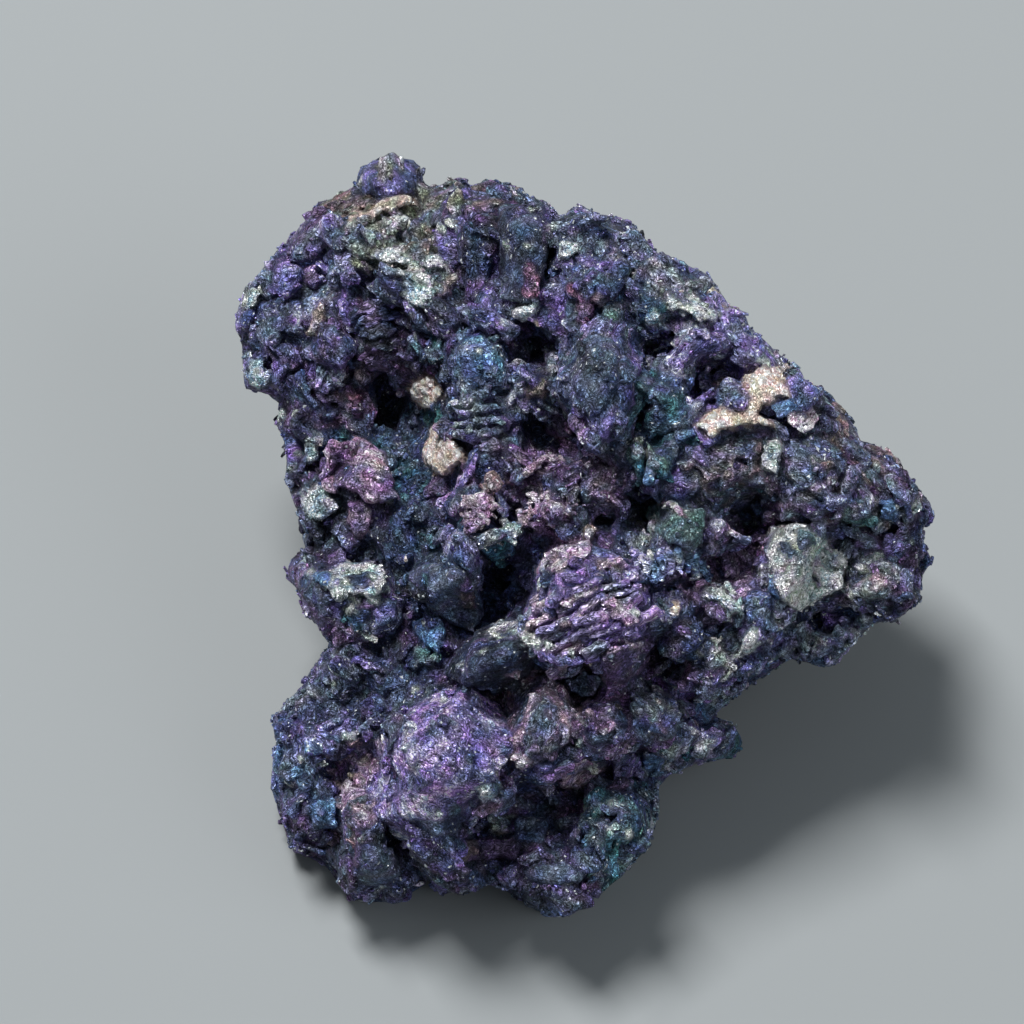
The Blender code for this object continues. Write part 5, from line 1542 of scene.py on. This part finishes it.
def skin_piece(name, skin, chosen, material, share):
    """One part of the skin as a piece of its own, with only that share of its triangles."""
    faces = skin.faces[chosen]
    used = np.unique(faces)
    renumber = np.zeros(len(skin.points), int)
    renumber[used] = np.arange(len(used))
    thing = mesh_object(name, skin.points[used], [renumber[faces]], material)
    thing.data.polygons.foreach_set("use_smooth", np.ones(len(faces), bool))
    look = skin.look[used]
    set_attribute(thing, "tarnish_and_painted_light", "FLOAT_COLOR", "POINT", with_alpha(skin.tarnish_and_painted_light[used]))
    set_attribute(thing, "dull", "FLOAT", "POINT", look_values(look, "roughness"))
    grain = skin.local[used] * grain_stretch(look)
    set_attribute(thing, "grain", "FLOAT_VECTOR", "POINT", grain)
    set_attribute(thing, "glints", "FLOAT", "POINT", look_values(look, "glints"))
    set_attribute(thing, "texture", "FLOAT", "POINT", look_values(look, "texture"))
    fewer = thing.modifiers.new("fewer triangles", "DECIMATE")
    fewer.ratio = share
    return thing


def crystal_axes(draw, normals, grain):
    """Axes of thin plates that face roughly out of the skin and lie roughly along its grain."""
    unevenness, spread_of_grain = 0.4, 0.3
    facing = normals + unevenness * draw.normal(size=normals.shape)
    facing /= np.linalg.norm(facing, axis=1, keepdims=True)
    grain = grain + spread_of_grain * draw.normal(size=normals.shape)
    second = np.cross(facing, grain)
    second /= np.linalg.norm(second, axis=1, keepdims=True)
    return np.stack([np.cross(second, facing), second, facing], axis=1)


def crystal_corners(draw, look):
    """The corners of thin plates round their own middles: the upper ones, then the lower ones."""
    number = len(look)
    reach = look_values(look, "crystal_size") * draw.lognormal(0, 0.35, number) / 2
    slender = draw.uniform(0.35, 0.8, number)
    thick = draw.uniform(0.05, 0.10, number)
    turns = np.arange(CRYSTAL_SIDES) + 0.7 * draw.random((number, CRYSTAL_SIDES))
    heading = 2 * math.pi * turns / CRYSTAL_SIDES
    radius = draw.uniform(0.75, 1.15, (number, CRYSTAL_SIDES)) * reach[:, None]
    along = np.cos(heading) * radius
    aside = np.sin(heading) * radius * slender[:, None]
    half = np.repeat(thick[:, None], CRYSTAL_SIDES, 1)
    upper = np.stack([along * 0.94, aside * 0.92, half], axis=-1)
    lower = np.stack([along, aside, -half], axis=-1)
    return np.concatenate([upper, lower], axis=1)


def crystal_faces(number):
    """The upper and lower faces of that many plates, and the walls between them."""
    start = np.arange(number)[:, None] * 2 * CRYSTAL_SIDES
    around = start + np.arange(CRYSTAL_SIDES)
    after = start + (np.arange(CRYSTAL_SIDES) + 1) % CRYSTAL_SIDES
    caps = np.concatenate([around, (around + CRYSTAL_SIDES)[:, ::-1]])
    walls = np.stack([around, around + CRYSTAL_SIDES, after + CRYSTAL_SIDES, after], axis=-1)
    return [caps, walls.reshape(-1, 4)]


def crystal_colours(draw, tarnish_and_painted_light, look):
    """Colours of plates: the skin's own, lighter or darker, and bright bare metal on a few, as painted
    glints.
    """
    glint_share = 0.5
    colour = tarnish_and_painted_light * draw.lognormal(0.05, 0.25, (len(look), 1))
    bright = draw.random(len(look)) < look_values(look, "glints") * glint_share
    glint_colours = np.array([PALETTE[name] for name in BARE_AND_GLINT_COLOURS])
    colour[bright] = glint_colours[draw.integers(0, len(glint_colours), bright.sum())]
    return colour


def on_faces(values, wall_values):
    """Each plate's value on its two big faces, and another on its walls."""
    return np.concatenate([values, values, np.repeat(wall_values, CRYSTAL_SIDES, axis=0)])


def crystal_piece(name, skin, chosen, material, seed):
    """Small thin plates strewn over one part of the skin, as one piece."""
    foot, back_share, wall_shine = 0.5, 0.5, 1.15
    draw = np.random.default_rng(seed)
    faces = skin.faces[chosen]
    normals = face_normals(skin.points, faces)
    size = np.linalg.norm(normals, axis=1)
    middles = skin.points[faces].mean(axis=1)
    expected = size * look_values(skin.look[faces[:, 0]], "crystals")
    expected[floor_height(middles[:, 1], middles[:, 2]) < foot] = 0
    expected[middles[:, 2] < BACK_BEGINS] *= back_share
    spots = np.flatnonzero(draw.random(len(faces)) < expected)
    at = faces[spots, 0]
    look = skin.look[at]
    axes = crystal_axes(draw, normals[spots] / size[spots, None], skin.grain[at])
    local = crystal_corners(draw, look)
    points = (middles[spots, None] + np.einsum("nkj,nji->nki", local, axes)).reshape(-1, 3)
    thing = mesh_object(name, points, crystal_faces(len(at)), material)
    colour = crystal_colours(draw, skin.tarnish_and_painted_light[at], look)
    # Plate walls are a little brighter: partly bare edges, partly a painted highlight on the rims.
    tint = with_alpha(on_faces(colour, colour * wall_shine))
    set_attribute(thing, "tarnish_and_painted_light", "FLOAT_COLOR", "FACE", tint)
    dull = look_values(look, "roughness") * draw.uniform(0.75, 1.1, len(at))
    set_attribute(thing, "dull", "FLOAT", "FACE", on_faces(dull, dull))
    texture = np.repeat(look_values(look, "texture"), 2 * CRYSTAL_SIDES)
    set_attribute(thing, "texture", "FLOAT", "POINT", texture)
    own = draw.uniform(0, 50, (len(at), 1, 1))
    grain = ((local + own) * grain_stretch(look)[:, None]).reshape(-1, 3)
    set_attribute(thing, "grain", "FLOAT_VECTOR", "POINT", grain)
    return thing


def add_node(tree, kind, **settings):
    """A new node with those settings."""
    node = tree.nodes.new(kind)
    for name, value in settings.items():
        setattr(node, name, value)
    return node


def attribute(tree, name, output="Fac"):
    """What the mesh stores by that name."""
    return add_node(tree, "ShaderNodeAttribute", attribute_name=name).outputs[output]


def linked(tree, node, **inputs):
    """Links or sets a node's inputs, named or numbered as n0, n1 and so on. Gives its first output."""
    for name, value in inputs.items():
        socket = node.inputs[int(name[1:]) if name[1:].isdigit() else name.capitalize()]
        if hasattr(value, "is_linked"):
            tree.links.new(value, socket)
        else:
            socket.default_value = value
    return node.outputs[0]


def noise_node(tree, place, period, detail, roughness=0.5):
    """Soft noise, as a number."""
    noise = add_node(tree, "ShaderNodeTexNoise")
    return linked(tree, noise, vector=place, scale=1 / period, detail=detail, roughness=roughness)


def vector_noise(tree, place, period, detail):
    """Soft noise with three values from 0 to 1, as a vector."""
    noise = add_node(tree, "ShaderNodeTexNoise")
    linked(tree, noise, vector=place, scale=1 / period, detail=detail)
    return noise.outputs["Color"]


def cell_nodes(tree, place, period):
    """Small cells: a random colour for each, and three numbers from it."""
    cells = add_node(tree, "ShaderNodeTexVoronoi")
    linked(tree, cells, vector=place, scale=1 / period)
    parts = add_node(tree, "ShaderNodeSeparateColor")
    linked(tree, parts, n0=cells.outputs["Color"])
    return cells.outputs["Color"], parts.outputs


def spread(tree, factor, before, after):
    """Maps a number from one range to another."""
    node = add_node(tree, "ShaderNodeMapRange")
    return linked(tree, node, n0=factor, n1=before[0], n2=before[1], n3=after[0], n4=after[1])


def scaled(tree, vector, factor):
    """A vector times a number."""
    node = add_node(tree, "ShaderNodeVectorMath", operation="SCALE")
    return linked(tree, node, n0=vector, scale=factor)


def added(tree, vector, other):
    """The sum of two vectors."""
    node = add_node(tree, "ShaderNodeVectorMath", operation="ADD")
    return linked(tree, node, n0=vector, n1=other)


def bumped(tree, height, normal):
    """The normal of a surface whose relief has that height in millimetres."""
    bump = add_node(tree, "ShaderNodeBump")
    return linked(tree, bump, distance=MM, height=height, normal=normal)


def tilted(tree, normal, cell_colour, amount):
    """Tilts the normal by a random amount in each small cell, as tiny flakes do."""
    centred = added(tree, cell_colour, (-0.5, -0.5, -0.5))
    turned = added(tree, normal, scaled(tree, centred, amount))
    unit = add_node(tree, "ShaderNodeVectorMath", operation="NORMALIZE")
    return linked(tree, unit, n0=turned)


def with_glints(tree, colour, number, share):
    """Makes that share of the tiny cells bright silver: bare metal and painted glints."""
    chosen = add_node(tree, "ShaderNodeMath", operation="LESS_THAN")
    mixed = add_node(tree, "ShaderNodeMix", data_type="RGBA")
    chosen = linked(tree, chosen, n0=number, n1=share)
    linked(tree, mixed, n0=chosen, n6=colour, n7=(*PALETTE["silver"], 1))
    return mixed.outputs[2]


def product(tree, first, second, operation="MULTIPLY"):
    """The product of two numbers, or what another operation makes of them."""
    node = add_node(tree, "ShaderNodeMath", operation=operation)
    return linked(tree, node, n0=first, n1=second)


def creases(tree, place, period, width):
    """Sharp wandering crests at 1 between hollows at 0."""
    off_middle = product(tree, noise_node(tree, place, period, 1.0), 0.5, "SUBTRACT")
    away = product(tree, off_middle, 0.0, "ABSOLUTE")
    return spread(tree, away, (0, width), (1, 0))


def total_height(tree, relief):
    """The sum of patterns, each times its own height in millimetres."""
    total = None
    for pattern, height in relief:
        part = product(tree, pattern, height)
        total = part if total is None else product(tree, total, part, "ADD")
    return total


def cell_borders(tree, place, period, width):
    """0 on the borders between small cells, and 1 inside them."""
    cells = add_node(tree, "ShaderNodeTexVoronoi", feature="DISTANCE_TO_EDGE")
    inward = linked(tree, cells, vector=place, scale=1 / period)
    return spread(tree, inward, (0, width), (0, 1))


def shaded(tree, colour, texture, patterns):
    """Darkens and brightens a colour from low to high by each pattern, as far as texture says."""
    total = None
    for pattern, low, high in patterns:
        factor = spread(tree, pattern, (0, 1), (low, high))
        total = factor if total is None else product(tree, total, factor)
    change = product(tree, product(tree, total, 1.0, "SUBTRACT"), texture)
    colour = scaled(tree, colour, product(tree, change, 1.0, "ADD"))
    least = add_node(tree, "ShaderNodeVectorMath", operation="MINIMUM")
    return linked(tree, least, n0=colour, n1=(BRIGHTEST,) * 3)


def drifting_colour(tree, grain, texture):
    """The tarnish colour, which drifts softly towards other tints."""
    centred = added(tree, vector_noise(tree, grain, TINT, 0.0), (-0.5, -0.5, -0.5))
    drift = scaled(tree, centred, product(tree, texture, 0.7))
    drift = added(tree, drift, (1.0, 1.0, 1.0))
    node = add_node(tree, "ShaderNodeVectorMath", operation="MULTIPLY")
    return linked(tree, node, n0=attribute(tree, "tarnish_and_painted_light", "Color"), n1=drift)


def metal_material():
    """Crumpled tarnished metal: platelets, flakes, folds, cracks and grit, with painted shade in the borders
    and cracks and a painted highlight on the folds.
    """
    material = bpy.data.materials.new("tarnished metal")
    material.use_nodes = True
    tree = material.node_tree
    shader = tree.nodes["Principled BSDF"]
    shader.inputs["Metallic"].default_value = METALLIC
    grain = attribute(tree, "grain", "Vector")
    texture = attribute(tree, "texture")
    bent = added(tree, grain, scaled(tree, vector_noise(tree, grain, SWIRL, 1.0), 0.5))
    grit = noise_node(tree, bent, GRIT, 3.0, 0.7)
    folds = creases(tree, bent, FOLD, 0.07)
    cracks = creases(tree, added(tree, bent, (7.3, 1.9, 4.1)), CRACK, 0.06)
    plate_colour, plate = cell_nodes(tree, bent, PLATELET)
    borders = cell_borders(tree, bent, PLATELET, 0.07)
    flake_colour, flake = cell_nodes(tree, bent, FLAKE)
    # Colour patterns: grit, platelets and flakes vary the tone at random; the dark borders and cracks are a
    # painted shade, and the bright crests of the folds a painted highlight.
    patterns = (
        (spread(tree, grit, (0.35, 0.65), (0, 1)), 0.35, 1.9),
        (plate["Blue"], 0.7, 1.4),
        (borders, 0.3, 1.15),
        (cracks, 1.15, 0.3),
        (folds, 0.95, 2.1),
        (flake["Green"], 0.7, 1.4),
    )
    colour = shaded(tree, drifting_colour(tree, grain, texture), texture, patterns)
    clusters = spread(tree, noise_node(tree, grain, CLUSTER, 1.0), (0.45, 0.65), (0.2, 3.0))
    share = product(tree, attribute(tree, "glints"), clusters)
    colour = with_glints(tree, colour, flake["Red"], share)
    dull = product(tree, attribute(tree, "dull"), spread(tree, flake["Blue"], (0, 1), (0.8, 1.4)))
    geometry = add_node(tree, "ShaderNodeNewGeometry")
    normal = tilted(tree, geometry.outputs["Normal"], plate_colour, product(tree, texture, 0.6))
    normal = tilted(tree, normal, flake_colour, product(tree, texture, 0.5))
    relief = (borders, 0.05), (folds, 0.07), (cracks, -0.05), (product(tree, grit, texture), 0.2)
    normal = bumped(tree, total_height(tree, relief), normal)
    for name, value in (("Base Color", colour), ("Roughness", dull), ("Normal", normal)):
        tree.links.new(value, shader.inputs[name])
    return material


def regions_of(skin):
    """A number for the part of the skin that each face lies in, by REGIONS."""
    side_begins, upper_begins, middle_begins, right_begins = -11.0, 4.0, -11.5, 6.5
    places = skin.points[skin.faces].mean(axis=1)
    normal = face_normals(skin.points, skin.faces)
    turned_back = (places[:, 2] < side_begins) & (normal[:, 2] < 0)
    behind = (places[:, 2] < BACK_BEGINS) | turned_back
    level = np.where(places[:, 1] > upper_begins, 0, np.where(places[:, 1] > middle_begins, 2, 4))
    right = (places[:, 0] > right_begins) & (level < 4)
    return np.where(behind, REGIONS.index("back"), level + right)


def settle(piece):
    """Makes a piece part of the specimen, standing for its solid."""
    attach(piece, "root")
    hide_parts(NODE)


def specimen():
    """Grows the mass and makes its skin and its crust, one part after another."""
    mass = grown_mass()
    skin = marked_skin(mass)
    roughen(skin)
    # The skin's colour, with its painted highlights and painted shade.
    skin.tarnish_and_painted_light = colours_of(skin)
    region = regions_of(skin)
    metal = metal_material()
    for number, name in enumerate(REGIONS):
        chosen = region == number
        share = BACK_SHARE if name == "back" else FRONT_SHARE
        settle(skin_piece("skin_" + name, skin, chosen, metal, share))
        settle(crystal_piece("crystals_" + name, skin, chosen, metal, 50 + number))


def studio_floor():
    """A pale plain floor."""
    reach = 0.6
    mesh = bpy.data.meshes.new("floor")
    corners = [(-reach, -reach, 0), (reach, -reach, 0), (reach, reach, 0), (-reach, reach, 0)]
    mesh.from_pydata(corners, [], [(0, 1, 2, 3)])
    floor = bpy.data.objects.new("floor", mesh)
    bpy.context.scene.collection.objects.link(floor)
    material = bpy.data.materials.new("pale floor")
    material.use_nodes = True
    shader = material.node_tree.nodes["Principled BSDF"]
    shader.inputs["Base Color"].default_value = (0.22, 0.235, 0.24, 1)
    shader.inputs["Roughness"].default_value = 0.8
    mesh.materials.append(material)


def soft_light(name, place, size, power, colour=(1.0, 1.0, 1.0)):
    """A square light that faces the specimen."""
    data = bpy.data.lights.new(name, "AREA")
    data.shape = "SQUARE"
    data.size = size
    data.energy = power
    data.color = colour
    light = bpy.data.objects.new(name, data)
    bpy.context.scene.collection.objects.link(light)
    light.location = place
    light.rotation_mode = "QUATERNION"
    light.rotation_quaternion = Vector(place).to_track_quat("Z", "Y")


def studio():
    """The floor, a soft cool light from all round, a key light and a fill light."""
    studio_floor()
    world = bpy.data.worlds.new("studio")
    world.use_nodes = True
    background = world.node_tree.nodes["Background"]
    background.inputs["Color"].default_value = (0.78, 0.85, 0.9, 1)
    background.inputs["Strength"].default_value = 0.27
    bpy.context.scene.world = world
    soft_light("key", place=(-0.24, 0.32, 0.84), size=0.32, power=14.0)
    soft_light("fill", place=(0.7, -0.3, 0.6), size=0.6, power=2.5, colour=(0.9, 0.95, 1.0))
    bpy.context.scene.view_settings.view_transform = "Standard"


def camera():
    """Looks straight at the face from the eye's distance."""
    data = bpy.data.cameras.new("camera")
    data.sensor_width = SENSOR
    picture_width = PICTURE_PIXELS / PIXELS_PER_MM
    data.lens = SENSOR * EYE_DISTANCE / picture_width
    data.clip_start = 0.01
    data.clip_end = 10.0
    eye = bpy.data.objects.new("camera", data)
    bpy.context.scene.collection.objects.link(eye)
    turn = Matrix([ACROSS, UP_FACE, OFF_FACE]).transposed().to_4x4()
    spot = Vector((FACE_MIDDLE + OFF_FACE * EYE_DISTANCE) * MM)
    eye.matrix_world = Matrix.Translation(spot) @ turn
    bpy.context.scene.camera = eye


camera()
studio()
specimen()
